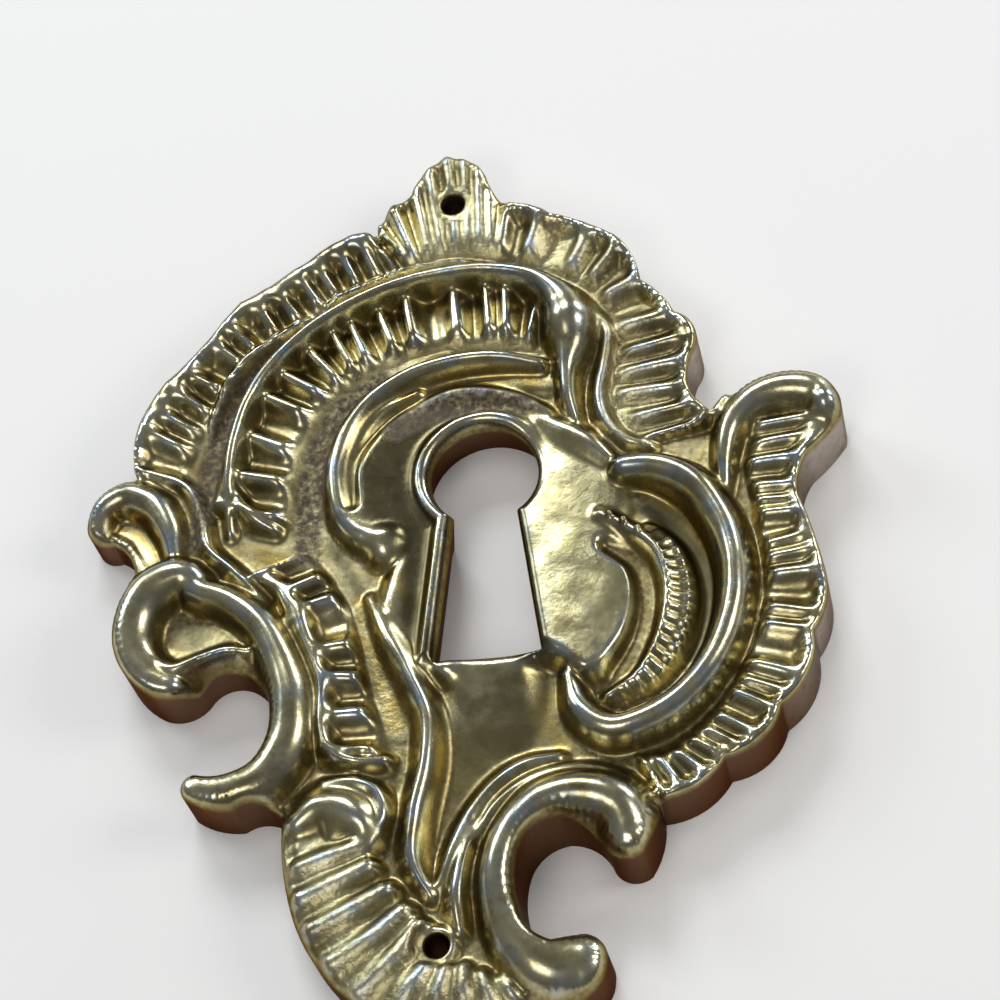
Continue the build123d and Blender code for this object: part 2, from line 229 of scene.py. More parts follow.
# Polish and fine relief
POLISH = 0.165
ROUGH_MATT = 0.3
HOLLOW_MATT = 0.12
PEBBLE_MATT = 0.12
GRAIN_MATT = 0.16
ROUGH_SKIN = 0.4              # share of the rough floors that doesn't shine as metal
ROUGH_RELIEF = 0.5
PEBBLE_RELIEF = 0.4
GRAIN_RELIEF = 0.08
DENT_RELIEF = 0.02
BUMP_HEIGHT = 0.0002
BUMP_STRENGTH = 0.7

# Floor, room and camera
PALE_FLOOR = (0.93, 0.92, 0.908)
FLOOR_ROUGHNESS = 0.9
FLOOR_GLOW = 0.035
FLOOR_HALF_M = 1.0
ROOM = (0.14, 0.14, 0.143)
CAMERA_TILT = 29
CAMERA_TURN = 8
CAMERA_ROLL = -1.7
CAMERA_DISTANCE = 220
CAMERA_TARGET_Z = 3
VIEW_WIDTH = 65
SENSOR = 36
CLIP_START_M = 0.01

# Lamps: name, place and size in metres, power in watts, colour
LAMPS = [
    ("Window back", (-0.09, 0.43, 0.405), (0.24, 0.17), 1.2, (0.93, 0.97, 1.0)),
    ("Window left", (-0.398, 0.334, 0.300), (0.20, 0.20), 0.74, (0.80, 0.90, 1.0)),
    ("Lamp right", (0.507, 0.044, 0.318), (0.22, 0.20), 0.7, (1.0, 0.97, 0.92)),
    ("Lamp low", (0.393, 0.436, 0.125), (0.20, 0.12), 0.7, (0.90, 0.95, 1.0)),
    ("Lamp front", (-0.156, -0.335, 0.473), (0.24, 0.20), 0.48, (1.0, 0.97, 0.92)),
]
FILL = ("Fill", (0.0, 0.0, 0.7), (0.5, 0.5), 1.15, (1.0, 0.99, 0.97))

# Round scrolls, as stations: x, y, half width, crest height
BIG_SCROLL = [
    (-17.8, -0.8, 0.4, 4.0), (-17.8, 2.2, 0.55, 5.0), (-17.3, 5.9, 0.6, 5.4), (-15.8, 9.7, 0.6, 5.5),
    (-12.9, 12.9, 0.6, 5.6), (-8.7, 15.3, 0.6, 5.7), (-3.9, 16.5, 0.6, 5.7), (0.4, 16.4, 0.65, 5.7),
    (3.3, 15.3, 0.85, 5.8), (5.0, 13.0, 1.5, 5.9), (5.2, 10.8, 1.4, 5.6), (4.9, 8.6, 0.8, 5.1),
    (4.9, 6.5, 0.65, 4.9), (5.4, 4.4, 0.4, 4.2),
]
INNER_SCROLL = [
    (3.2, 9.3, 0.5, 4.6), (0.5, 9.9, 0.6, 5.1), (-3.0, 9.9, 0.65, 5.2), (-6.2, 9.0, 0.7, 5.2),
    (-8.8, 7.0, 0.75, 5.2), (-10.3, 4.2, 0.8, 5.2), (-10.6, 1.2, 0.8, 5.2), (-9.9, -1.2, 0.85, 5.1),
    (-8.4, -2.4, 1.0, 5.0), (-6.9, -2.4, 1.0, 4.6),
]
RIGHT_SCROLL = [
    (8.3, 0.7, 0.9, 5.3), (10.0, 0.5, 1.0, 5.6), (12.4, -0.7, 1.1, 5.8), (14.3, -3.7, 1.1, 5.9),
    (15.1, -7.4, 1.05, 5.9), (14.5, -11.4, 1.05, 5.8), (12.3, -15.1, 1.0, 5.7), (9.0, -17.3, 1.0, 5.6),
    (6.6, -17.6, 1.0, 5.5), (4.9, -16.2, 0.95, 5.4), (4.2, -13.6, 0.6, 4.8),
]
VOLUTE = [
    (14.7, -1.5, 0.5, 4.2), (14.9, 1.0, 0.8, 5.0), (15.6, 3.2, 1.0, 5.4), (17.2, 4.7, 1.2, 5.6),
    (19.2, 5.1, 1.3, 5.7), (21.0, 4.6, 1.35, 5.7), (21.7, 3.4, 1.2, 5.4),
]
LEFT_SCROLL = [
    (-20.2, -4.9, 0.9, 5.3), (-18.0, -5.9, 1.0, 5.6), (-15.7, -7.9, 1.15, 5.7), (-14.3, -10.7, 1.3, 5.7),
    (-13.6, -13.6, 1.45, 5.7), (-13.9, -16.4, 1.5, 5.5), (-15.5, -18.6, 1.5, 5.2), (-17.8, -19.2, 1.5, 5.0),
    (-19.6, -19.0, 1.4, 4.8),
]
LOBE_RIM = [
    (-19.2, -5.6, 0.9, 5.0), (-20.7, -4.0, 1.3, 5.7), (-22.8, -4.6, 1.5, 5.7), (-24.0, -6.4, 1.5, 5.5),
    (-24.2, -8.6, 1.5, 5.3), (-23.4, -10.6, 1.5, 5.1), (-21.8, -11.6, 1.2, 4.8),
]
LEAF_RIM = [
    (-21.4, -2.6, 0.6, 4.5), (-22.0, 0.2, 0.95, 4.8), (-23.2, 2.1, 1.05, 4.8), (-25.0, 2.9, 1.0, 4.6),
    (-26.5, 2.1, 0.9, 4.3), (-26.9, 0.8, 0.8, 3.9),
]
LOWER_SCROLL = [
    (7.7, -24.9, 1.6, 5.8), (7.1, -23.1, 1.6, 6.4), (4.8, -22.1, 1.55, 6.55), (2.2, -22.6, 1.55, 6.55),
    (0.5, -24.3, 1.45, 6.5), (-0.4, -26.6, 1.4, 6.3), (-0.3, -29.0, 1.4, 6.0), (0.7, -31.2, 1.6, 5.8),
    (2.4, -32.6, 1.8, 5.6), (4.2, -32.7, 1.8, 5.2),
]
SCROLLS = [
    BIG_SCROLL, INNER_SCROLL, RIGHT_SCROLL, VOLUTE, LEFT_SCROLL, LOBE_RIM, LEAF_RIM, LOWER_SCROLL,
]

# Thin raised lines, as stations: x, y, half width, crest height
BEAD_RIDGE = [
    (6.6, -2.4, 0.4, 4.5), (8.6, -3.8, 0.5, 4.8), (10.0, -5.3, 0.55, 4.9), (10.7, -7.5, 0.55, 4.9),
    (10.6, -9.8, 0.55, 4.9), (9.9, -12.0, 0.5, 4.8), (8.5, -14.2, 0.45, 4.7), (6.6, -15.3, 0.4, 4.4),
]
LADDER_RAIL = [
    (-15.2, -4.5, 0.5, 4.6), (-13.2, -7.2, 0.6, 5.0), (-12.3, -10.0, 0.6, 5.0), (-11.5, -12.6, 0.55, 5.0),
    (-11.6, -15.6, 0.55, 5.0), (-11.0, -17.4, 0.55, 5.0), (-9.4, -18.2, 0.55, 4.9), (-7.6, -18.2, 0.45, 4.5),
]
LADDER_CURL = [
    (-11.4, -19.4, 0.4, 4.2), (-9.6, -19.5, 0.5, 4.6), (-8.1, -20.3, 0.5, 4.7), (-7.6, -21.8, 0.45, 4.6),
    (-8.0, -23.2, 0.35, 4.2),
]
HEAD_LOBE = [
    (-13.2, -21.8, 0.8, 4.4), (-11.8, -21.0, 1.4, 5.0), (-10.2, -21.3, 1.6, 5.3), (-9.0, -22.4, 1.3, 5.2),
    (-8.6, -23.4, 0.8, 4.7),
]
S_RIDGE = [
    (-8.5, -6.6, 0.35, 4.3), (-7.6, -9.2, 0.6, 5.0), (-5.9, -12.7, 0.8, 5.2), (-4.8, -15.8, 0.85, 5.2),
    (-4.9, -18.8, 0.85, 5.2), (-5.7, -22.2, 0.85, 5.1), (-5.9, -25.2, 0.7, 4.9), (-4.8, -27.6, 0.35, 4.3),
]
LOWER_LINE = [
    (9.3, -22.7, 0.3, 4.2), (8.0, -21.5, 0.5, 4.8), (6.0, -20.4, 0.55, 4.9), (3.8, -20.1, 0.55, 4.9),
    (1.4, -20.7, 0.55, 4.9), (-0.6, -22.2, 0.5, 4.9), (-1.8, -24.0, 0.45, 4.6),
]
LOWER_RIB = [
    (-2.2, -23.6, 0.6, 4.6), (-2.9, -26.0, 0.8, 4.9), (-3.2, -28.2, 0.8, 4.8), (-3.1, -29.8, 0.5, 4.2),
]
PANEL_LINE = [
    (3.4, -19.0, 0.4, 4.2), (1.4, -19.4, 0.6, 4.6), (-0.5, -20.5, 0.7, 4.7), (-2.0, -22.2, 0.7, 4.7),
    (-3.4, -24.7, 0.6, 4.6), (-4.4, -27.0, 0.35, 4.2),
]
LEFT_LINE = [
    (-23.9, 3.9, 0.3, 3.9), (-20.8, 3.0, 0.4, 4.3), (-19.7, 0.6, 0.45, 4.5), (-19.2, -1.9, 0.5, 4.7),
    (-17.4, -3.9, 0.5, 4.8), (-15.4, -6.3, 0.45, 4.6), (-13.9, -9.2, 0.4, 4.2),
]
BORDER_LINE = [
    (6.6, 13.6, 0.3, 4.1), (7.6, 11.2, 0.45, 4.5), (7.3, 8.6, 0.45, 4.5), (6.9, 6.4, 0.5, 4.6),
    (7.3, 4.4, 0.5, 4.6), (8.7, 2.8, 0.45, 4.5), (10.2, 2.3, 0.3, 4.1),
]
CURL_LINE = [
    (-17.4, 2.6, 0.3, 4.2), (-17.1, 1.2, 0.5, 4.7), (-16.2, 0.0, 0.55, 4.8), (-14.8, -0.9, 0.4, 4.3),
]
SHIELD_LINE = [
    (3.0, 5.2, 0.5, 4.2), (4.6, 4.1, 0.8, 4.5), (6.2, 2.9, 0.8, 4.6), (7.4, 1.6, 0.5, 4.4),
]
INNER_EDGE = [
    (-5.0, 8.2, 0.3, 4.2), (-7.4, 6.9, 0.4, 4.5), (-9.0, 4.8, 0.45, 4.6), (-9.7, 2.4, 0.4, 4.6),
    (-9.8, 0.4, 0.35, 4.6), (-9.2, -1.2, 0.3, 4.6),
]
ARC_EDGE = [
    (-4.8, 7.2, 0.3, 4.2), (-3.0, 7.7, 0.45, 4.5), (0.0, 7.4, 0.45, 4.6), (2.4, 6.4, 0.4, 4.5),
    (3.6, 5.6, 0.3, 4.3),
]
LOBE_LIP = [
    (-23.2, -6.6, 0.4, 4.3), (-23.0, -9.0, 0.5, 4.6), (-21.4, -10.5, 0.6, 4.8), (-19.6, -10.0, 0.6, 4.8),
    (-17.6, -9.6, 0.5, 4.8), (-16.2, -9.8, 0.4, 4.6),
]
LINES = [
    BEAD_RIDGE, LADDER_RAIL, LADDER_CURL, HEAD_LOBE, S_RIDGE, LOWER_LINE, LOWER_RIB, PANEL_LINE, LEFT_LINE,
    BORDER_LINE, CURL_LINE, SHIELD_LINE, INNER_EDGE, ARC_EDGE, LOBE_LIP,
]

# Ribs of the fluted bands: outer end and inner end in plan. A flute lies between two ribs.
UPPER_LEFT_RIBS = [
    (-24.6, 4.4, -20.6, 3.3), (-23.6, 7.5, -20.4, 5.6), (-22.7, 8.8, -19.9, 6.9), (-21.4, 10.1, -19.2, 8.3),
    (-20.9, 11.5, -18.4, 10.0), (-18.9, 13.6, -16.7, 11.7), (-18.1, 14.8, -15.9, 12.7),
    (-16.0, 16.2, -14.8, 13.9), (-14.5, 16.9, -13.2, 14.8), (-13.1, 18.0, -11.6, 15.7),
    (-11.9, 18.8, -10.6, 16.4), (-10.3, 19.8, -9.1, 16.9), (-8.9, 20.4, -7.7, 17.4), (-7.9, 20.7, -6.2, 17.8),
]
FINIAL_RIBS = [
    (-7.8, 21.5, -5.6, 18.0), (-6.7, 22.9, -5.0, 18.1), (-5.0, 24.1, -4.1, 18.2), (-4.1, 25.2, -3.2, 18.3),
    (-2.8, 26.3, -2.3, 18.3), (-1.7, 26.0, -1.5, 18.3), (-0.7, 25.3, -0.7, 18.3), (0.1, 23.3, 0.0, 18.2),
    (1.1, 21.9, 0.6, 18.1),
]
UPPER_RIGHT_RIBS = [
    (1.1, 21.9, 0.6, 18.1), (3.4, 20.8, 2.3, 17.6), (6.8, 19.2, 5.2, 16.2), (8.7, 17.8, 6.4, 15.2),
    (9.8, 14.9, 7.1, 13.9), (12.0, 12.0, 7.8, 11.5), (13.3, 10.2, 7.9, 9.4), (12.9, 8.4, 7.6, 8.0),
    (12.6, 6.4, 7.6, 6.6), (13.1, 4.9, 8.4, 4.4), (14.3, 3.6, 8.8, 2.6),
]
RIGHT_RIBS = [
    (20.9, 4.4, 16.2, 3.9), (20.8, 3.0, 16.2, 2.7), (20.6, 1.8, 16.2, 1.5), (19.6, 0.3, 15.8, 0.2),
    (19.3, -1.8, 16.0, -1.7), (19.3, -2.7, 16.2, -2.6), (19.4, -3.6, 16.4, -3.5), (20.0, -5.4, 16.6, -6.0),
    (20.2, -6.4, 16.6, -6.8), (20.3, -7.9, 16.7, -7.9), (20.3, -11.2, 16.2, -10.1),
    (19.7, -12.1, 16.0, -11.1),
    (18.8, -15.3, 14.8, -13.8), (18.0, -16.3, 14.4, -14.7), (17.0, -17.3, 13.9, -15.5),
    (15.8, -19.0, 12.8, -17.0), (14.9, -19.7, 12.0, -17.8), (13.9, -20.4, 11.2, -18.4),
    (12.6, -21.2, 10.2, -19.1), (10.9, -22.0, 9.2, -19.2), (9.6, -22.4, 8.1, -19.3),
]
INNER_RIBS = [
    (-17.6, 0.6, -13.9, -0.6), (-17.4, 3.3, -13.5, 2.2), (-17.3, 6.6, -13.2, 4.4), (-16.2, 9.5, -12.1, 7.0),
    (-14.9, 11.1, -11.0, 8.3), (-12.7, 12.6, -10.0, 9.0), (-10.9, 13.6, -9.2, 9.9), (-9.8, 14.4, -8.2, 10.2),
    (-7.8, 15.1, -6.3, 10.9), (-5.9, 15.7, -5.2, 11.2), (-2.5, 16.0, -2.2, 11.4), (-0.3, 15.7, 0.0, 11.3),
    (0.9, 15.4, 0.9, 11.2), (3.3, 14.2, 2.6, 10.9),
]
LADDER_RIBS = [
    (-15.2, -3.8, -12.6, -2.9), (-13.4, -5.6, -11.2, -4.8), (-12.9, -7.0, -10.4, -6.2),
    (-12.3, -10.2, -9.1, -10.1), (-11.4, -12.2, -8.8, -12.4), (-11.4, -14.8, -8.3, -14.8),
    (-11.2, -17.4, -7.6, -17.8),
]

# Bands: ribs, height at the outer and the inner end, hollow of the flutes at both, lip at the outer end
BANDS = [
    (UPPER_LEFT_RIBS, 4.5, 4.1, 1.0, 0.85, 0.1),
    (FINIAL_RIBS, 4.4, 4.4, 0.9, 0.8, 0.0),
    (UPPER_RIGHT_RIBS, 4.6, 4.1, 1.0, 0.7, 0.2),
    (RIGHT_RIBS, 4.6, 4.5, 0.85, 0.75, 0.15),
    (INNER_RIBS, 4.5, 4.75, 1.25, 0.75, 0.0),
    (LADDER_RIBS, 4.7, 4.6, 1.0, 0.9, 0.0),
]

# Round ribs of the shell, as stations: x, y, half width, crest height
SHELL_RIBS = [
    [(-13.0, -24.8, 0.75, 4.3), (-11.0, -24.4, 0.84, 4.7), (-9.0, -23.9, 0.75, 4.7)],
    [(-12.9, -26.9, 0.84, 4.4), (-10.8, -26.3, 0.93, 4.9), (-8.8, -25.4, 0.84, 4.9)],
    [(-12.2, -29.0, 0.84, 4.4), (-9.8, -28.2, 0.93, 5.0), (-7.6, -27.1, 0.84, 5.0)],
    [(-11.0, -31.2, 0.84, 4.3), (-8.6, -30.2, 0.93, 5.0), (-6.5, -28.6, 0.84, 5.0)],
    [(-9.4, -33.2, 0.84, 4.2), (-7.4, -31.8, 0.93, 4.9), (-5.6, -29.6, 0.75, 4.8)],
    [(-7.3, -34.7, 0.84, 4.2), (-6.0, -33.2, 0.84, 4.8), (-5.1, -32.0, 0.64, 4.7)],
    [(-5.0, -35.3, 0.84, 4.2), (-4.4, -33.8, 0.75, 4.8), (-4.0, -32.5, 0.64, 4.7)],
    [(-2.9, -35.2, 0.75, 4.2), (-2.9, -33.8, 0.75, 4.7), (-2.9, -32.4, 0.55, 4.6)],
    [(-1.2, -35.0, 0.75, 4.2), (-1.5, -33.9, 0.64, 4.6), (-1.8, -32.9, 0.55, 4.5)],
    [(0.4, -34.6, 0.64, 4.1), (-0.1, -34.0, 0.55, 4.4), (-0.6, -33.3, 0.55, 4.3)],
]

# Round body under the shell's ribs, as stations: x, y, half width, crest height
SHELL_BODY = [
    (-11.0, -23.4, 1.4, 4.0), (-11.0, -26.6, 1.9, 4.35), (-9.6, -29.6, 2.0, 4.4), (-7.4, -32.2, 1.9, 4.4),
    (-4.4, -33.9, 1.5, 4.3), (-1.0, -34.4, 1.0, 4.1),
]

# Round knobs: x, y, radius, crest height
KNOBS = [
    (-7.4, -3.0, 1.7, 5.0), (5.2, 12.0, 2.1, 6.1), (21.6, 3.6, 1.35, 5.8),
]

# Pearls at the head of the bead ridge: x, y, radius, crest height
PEARLS = [(7.3, -2.7, 0.45, 4.95), (8.2, -3.3, 0.48, 5.05), (9.1, -4.0, 0.48, 5.05)]

# Sunk floors, as stations: x, y, half width, floor height. The bead band is a flat strip that gets notches.
BORDER_GROOVE = [
    (-20.3, -1.6, 0.5, 3.3), (-19.5, 2.5, 0.8, 3.2), (-18.7, 6.2, 0.8, 3.15), (-17.2, 9.8, 0.7, 3.15),
    (-14.4, 13.1, 0.5, 3.25), (-10.2, 15.8, 0.35, 3.35), (-5.0, 17.3, 0.3, 3.4), (0.5, 17.3, 0.3, 3.4),
    (4.2, 16.2, 0.3, 3.4), (6.6, 13.6, 0.4, 3.4), (7.0, 10.8, 0.4, 3.4),
]
INNER_GROOVE = [
    (-3.0, 10.9, 0.35, 3.8), (-7.4, 10.0, 0.6, 3.5), (-10.2, 8.0, 0.8, 3.3), (-11.9, 4.8, 0.9, 3.2),
    (-12.5, 1.5, 0.9, 3.2), (-12.0, -2.0, 0.8, 3.3), (-10.5, -4.8, 0.7, 3.3), (-9.4, -7.2, 0.7, 3.3),
    (-8.7, -10.0, 0.75, 3.3), (-8.0, -12.8, 0.8, 3.3), (-6.9, -16.0, 0.7, 3.3), (-6.7, -19.5, 0.6, 3.3),
    (-7.4, -23.4, 0.5, 3.4),
]
INNER_COVE = [
    (3.4, 8.0, 0.8, 3.7), (0.4, 8.7, 0.9, 3.6), (-3.2, 8.7, 0.9, 3.6), (-6.0, 7.7, 0.8, 3.7),
    (-8.0, 5.8, 0.6, 3.9), (-9.6, 2.6, 0.5, 4.3), (-9.6, 0.0, 0.5, 4.3),
]
SHIELD_GROOVE = [
    (7.0, -4.6, 0.5, 3.6), (8.8, -6.0, 0.7, 3.4), (9.3, -8.2, 0.7, 3.4), (8.8, -11.0, 0.7, 3.4),
    (7.2, -13.6, 0.6, 3.5),
]
BEAD_GROOVE = [
    (9.0, -1.2, 0.6, 3.5), (11.0, -2.6, 0.9, 3.1), (12.6, -5.4, 0.9, 2.9), (13.0, -8.6, 0.8, 2.9),
    (12.2, -12.2, 0.8, 3.0), (9.8, -15.2, 0.8, 3.2),
]
RIGHT_GROOVE = [
    (15.6, 1.5, 0.4, 3.5), (15.9, -3.0, 0.6, 3.4), (16.2, -7.4, 0.6, 3.4), (15.4, -11.6, 0.6, 3.4),
    (13.4, -15.2, 0.6, 3.4), (10.0, -18.2, 0.6, 3.4),
]
PANEL_TROUGH = [
    (-0.8, -12.6, 2.8, 4.5), (-0.8, -14.4, 2.8, 4.1), (-1.2, -16.6, 2.6, 3.75), (-1.8, -18.8, 2.0, 3.45),
    (-3.0, -20.8, 1.4, 3.3), (-4.2, -23.6, 0.8, 3.2), (-4.6, -26.4, 0.5, 3.3),
]
LEAF_DISH = [
    (-25.6, 1.2, 1.0, 2.9), (-24.2, 0.6, 1.2, 2.9), (-23.2, -1.2, 1.0, 3.1), (-22.8, -2.8, 0.5, 3.3),
]
LOBE_SCOOP = [
    (-22.4, -7.0, 1.2, 3.4), (-21.2, -7.8, 1.5, 3.2), (-19.2, -8.0, 1.3, 3.4), (-17.4, -8.6, 0.7, 3.8),
]
LOBE_WALL = [
    (-22.4, -12.6, 0.8, 3.2), (-20.6, -12.0, 0.9, 3.0), (-18.9, -10.9, 0.8, 3.0), (-17.4, -10.5, 0.6, 3.2),
]
HEAD_HOLLOW = [
    (-13.0, -23.4, 0.6, 3.7), (-11.2, -23.2, 0.7, 3.5), (-9.6, -24.4, 0.6, 3.5),
]
LEFT_GROOVE = [
    (-22.4, 3.2, 0.4, 3.6), (-20.9, 0.8, 0.6, 3.4), (-20.2, -1.8, 0.5, 3.5), (-17.9, -4.9, 0.5, 3.6),
    (-15.3, -7.3, 0.5, 3.5), (-13.2, -10.6, 0.5, 3.4), (-12.3, -14.0, 0.5, 3.4), (-12.4, -17.4, 0.6, 3.4),
]
BEAD_BAND = [
    (9.6, -3.6, 0.4, 4.1), (11.0, -5.2, 0.7, 4.3), (11.6, -7.4, 0.85, 4.35), (11.5, -9.8, 0.85, 4.35),
    (10.7, -12.2, 0.8, 4.3), (9.0, -14.4, 0.6, 4.1), (7.2, -15.6, 0.4, 3.9),
]
FLOORS = [
    BORDER_GROOVE, INNER_GROOVE, INNER_COVE, SHIELD_GROOVE, BEAD_GROOVE, BEAD_BAND, RIGHT_GROOVE,
    PANEL_TROUGH, LEAF_DISH, LOBE_SCOOP, LOBE_WALL, LEFT_GROOVE, HEAD_HOLLOW,
]

# Floors left rough by the casting, as stations: x, y, half width
ROUGH_FLOORS = [
    [(-20.2, -1.5, 0.6), (-19.4, 3.0, 0.9), (-18.6, 6.4, 0.9), (-16.9, 10.0, 0.8), (-14.2, 13.0, 0.5)],
    [(-12.8, -3.0, 0.9), (-12.5, 1.5, 1.0), (-11.9, 4.8, 1.0), (-10.2, 7.9, 0.9), (-7.6, 9.8, 0.6)],
    [(-6.6, 5.2, 0.8), (-4.0, 6.7, 0.9), (-1.0, 6.9, 0.9), (2.0, 6.2, 0.8)],
]

# Where the cast surface is pebbled, as stations: x, y, half width
PEBBLED = [
    [(-9.0, -7.2, 0.6), (-8.2, -10.0, 0.7), (-7.4, -13.0, 0.8), (-6.8, -16.0, 0.7)],
    [(3.6, 18.6, 1.6), (7.4, 15.8, 1.6), (8.6, 11.0, 1.8), (8.6, 8.0, 1.8), (9.0, 4.4, 1.8)],
    [(-2.5, 25.2, 1.6), (-2.5, 22.0, 2.4), (-2.4, 19.2, 3.0)],
    [(-13.4, 0.0, 0.7), (-13.0, 4.0, 0.7), (-11.2, 7.6, 0.7), (-8.6, 9.8, 0.7), (-5.0, 10.9, 0.7),
     (2.4, 10.9, 0.7)],
    [(-11.2, -25.6, 2.2), (-9.2, -29.4, 2.8), (-6.2, -32.8, 2.8), (-2.0, -34.0, 2.0)],
]

# Where a gold reflection is painted on the brass, as stations: x, y, half width
GOLD_REFLECTION_STRIPS = [
    [(-9.2, -6.5, 0.5), (-8.3, -9.5, 0.7), (-7.4, -12.5, 0.8), (-6.9, -15.5, 0.6)],
    [(-16.4, -2.2, 0.7), (-15.0, -3.0, 0.9), (-13.6, -3.2, 0.6)],
    [(2.7, -14.8, 0.6), (2.5, -16.6, 0.7), (3.6, -18.0, 0.5)],
    [(9.8, -1.0, 0.5), (12.0, -2.8, 0.5), (13.4, -5.6, 0.4)],
    [(-6.2, 7.6, 0.5), (-3.0, 8.6, 0.6), (0.5, 8.7, 0.6), (3.0, 8.1, 0.5)],
    [(-25.4, 1.2, 0.8), (-24.0, 0.4, 1.0), (-23.2, -1.2, 0.7)],
    [(-8.2, -4.6, 0.6), (-6.6, -5.4, 0.5), (-5.8, -7.6, 0.4)],
]

# Floors with painted shade, as stations: x, y, half width
PAINTED_SHADE_FLOORS = [
    [(-3.2, 6.2, 0.8), (-6.0, 4.4, 1.8), (-7.2, 1.8, 2.2), (-6.8, -0.6, 1.7), (-5.4, -3.0, 1.2),
     (-5.2, -6.0, 1.1), (-5.4, -9.0, 1.0), (-4.6, -11.4, 0.6)],
    [(9.6, -2.2, 0.5), (11.6, -4.2, 0.6), (12.9, -6.6, 0.6), (13.0, -9.4, 0.6), (11.9, -12.4, 0.6)],
]

# Smooth shield round the keyhole, as its edge in plan
SHIELD_EDGE = [
    (3.3, 5.4), (5.4, 4.2), (7.4, 2.4), (8.6, 0.4), (8.2, -1.6), (7.6, -3.2), (8.3, -5.2), (8.8, -7.4),
    (8.4, -10.4), (7.0, -13.0), (5.4, -13.8), (3.6, -12.4), (-4.8, -12.4), (-6.6, -11.0), (-7.6, -8.0),
    (-7.0, -5.0), (-6.4, -3.4), (-8.4, -2.2), (-10.2, -0.6), (-10.7, 1.8), (-10.1, 4.4), (-8.2, 6.8),
    (-4.0, 8.2), (0.5, 7.4),
]

def smooth_step(a, b, x):
    """0 below a, 1 above b and an even change between."""
    t = np.clip((x - a) / (b - a), 0.0, 1.0)
    return t * t * (3 - 2 * t)


def soft_max(a, b, blend):
    """Larger of two heights, with a fillet where they meet."""
    h = np.clip(0.5 + 0.5 * (a - b) / blend, 0.0, 1.0)
    return b * (1 - h) + a * h + blend * h * (1 - h)


def half_round(off, r, crest):
    """Height of a round crest at some distance from its middle, down to the root at r."""
    return RIDGE_ROOT + (crest - RIDGE_ROOT) * np.sqrt(np.clip(1 - (off / r)**2, 0, 1))


def smooth_line(stations):
    """Short straight pieces of the smooth line through stations, all their columns together."""
    knots = np.array(stations, dtype=float)
    chords = np.maximum(np.linalg.norm(np.diff(knots[:, :2], axis=0), axis=1), TINY)
    slopes = np.gradient(knots, np.concatenate([[0], np.cumsum(chords)]), axis=0)
    pieces = []
    for i, chord in enumerate(chords):
        t = np.linspace(0, 1, max(2, int(chord / GUIDE_STEP) + 1), endpoint=False)[:, None]
        pieces.append((2 * t**3 - 3 * t**2 + 1) * knots[i] + (t**3 - 2 * t**2 + t) * chord * slopes[i]
                      + (3 * t**2 - 2 * t**3) * knots[i + 1] + (t**3 - t**2) * chord * slopes[i + 1])
    return np.vstack(pieces + [knots[-1:]])


def near_line(points, line, reach):
    """Which points lie within reach of a line, how far off, and the line's columns there."""
    low = line[:, :2].min(axis=0) - reach
    high = line[:, :2].max(axis=0) + reach
    found = np.nonzero(np.all((points > low) & (points < high), axis=1))[0]
    off = np.full(len(found), np.inf)
    columns = np.zeros((len(found), line.shape[1]))
    near = points[found]
    for a, b in zip(line[:-1], line[1:]):
        along = b[:2] - a[:2]
        rel = near - a[:2]
        t = np.clip(rel @ along / max(along @ along, TINY), 0, 1)
        gap = np.linalg.norm(rel - t[:, None] * along, axis=1)
        closer = gap < off
        off[closer] = gap[closer]
        columns[closer] = a + t[closer, None] * (b - a)
    keep = off < reach
    return found[keep], off[keep], columns[keep]


def inside_loop(points, loop):
    """Which points lie inside a closed loop in plan."""
    inside = np.zeros(len(points), dtype=bool)
    for (x1, y1), (x2, y2) in zip(loop, np.roll(loop, -1, axis=0)):
        if y1 == y2:
            continue
        spans = (points[:, 1] > min(y1, y2)) & (points[:, 1] <= max(y1, y2))
        crossing = x1 + (points[:, 1] - y1) * (x2 - x1) / (y2 - y1)
        inside ^= spans & (points[:, 0] < crossing)
    return inside


def loop_distance(points, loop, reach):
    """Distance of points from a closed loop, up to reach."""
    off = np.full(len(points), reach)
    found, gap, _ = near_line(points, np.vstack([loop, loop[:1]]), reach)
    off[found] = gap
    return off


def raise_scrolls(points, z, guides):
    """Heights with half-round scrolls raised along guide lines, and a fillet at their foot."""
    for stations in guides:
        line = smooth_line(stations)
        found, off, columns = near_line(points, line, SCROLL_SPREAD * line[:, 2].max())
        top = half_round(off, SCROLL_SPREAD * columns[:, 2], columns[:, 3])
        z[found] = soft_max(z[found], top, SCROLL_BLEND)
    return z


def raise_lines(points, z, guides):
    """Heights with soft ridges raised along guide lines: round on top, and run out in a hollow curve."""
    for stations in guides:
        line = smooth_line(stations)
        found, off, columns = near_line(points, line, LINE_SPREAD * line[:, 2].max())
        weight = 0.5 + 0.5 * np.cos(np.pi * np.clip(off / (LINE_SPREAD * columns[:, 2]), 0, 1))
        z[found] += np.maximum(columns[:, 3] - z[found], 0) * weight
    return z


def sink_floors(points, z, guides):
    """Heights with sunk floors along guide lines."""
    for stations in guides:
        line = smooth_line(stations)
        found, off, columns = near_line(points, line, FLOOR_FADE[1] * line[:, 2].max())
        weight = 1 - smooth_step(*FLOOR_FADE, off / columns[:, 2])
        z[found] = z[found] * (1 - weight) + columns[:, 3] * weight
    return z


def rib_measure(points, rib):
    """Distance of points from a rib's line, and how far along it they lie."""
    run = rib[2:] - rib[:2]
    rel = points - rib[:2]
    gap = np.abs(run[0] * rel[:, 1] - run[1] * rel[:, 0]) / np.linalg.norm(run)
    return gap, rel @ run / (run @ run)


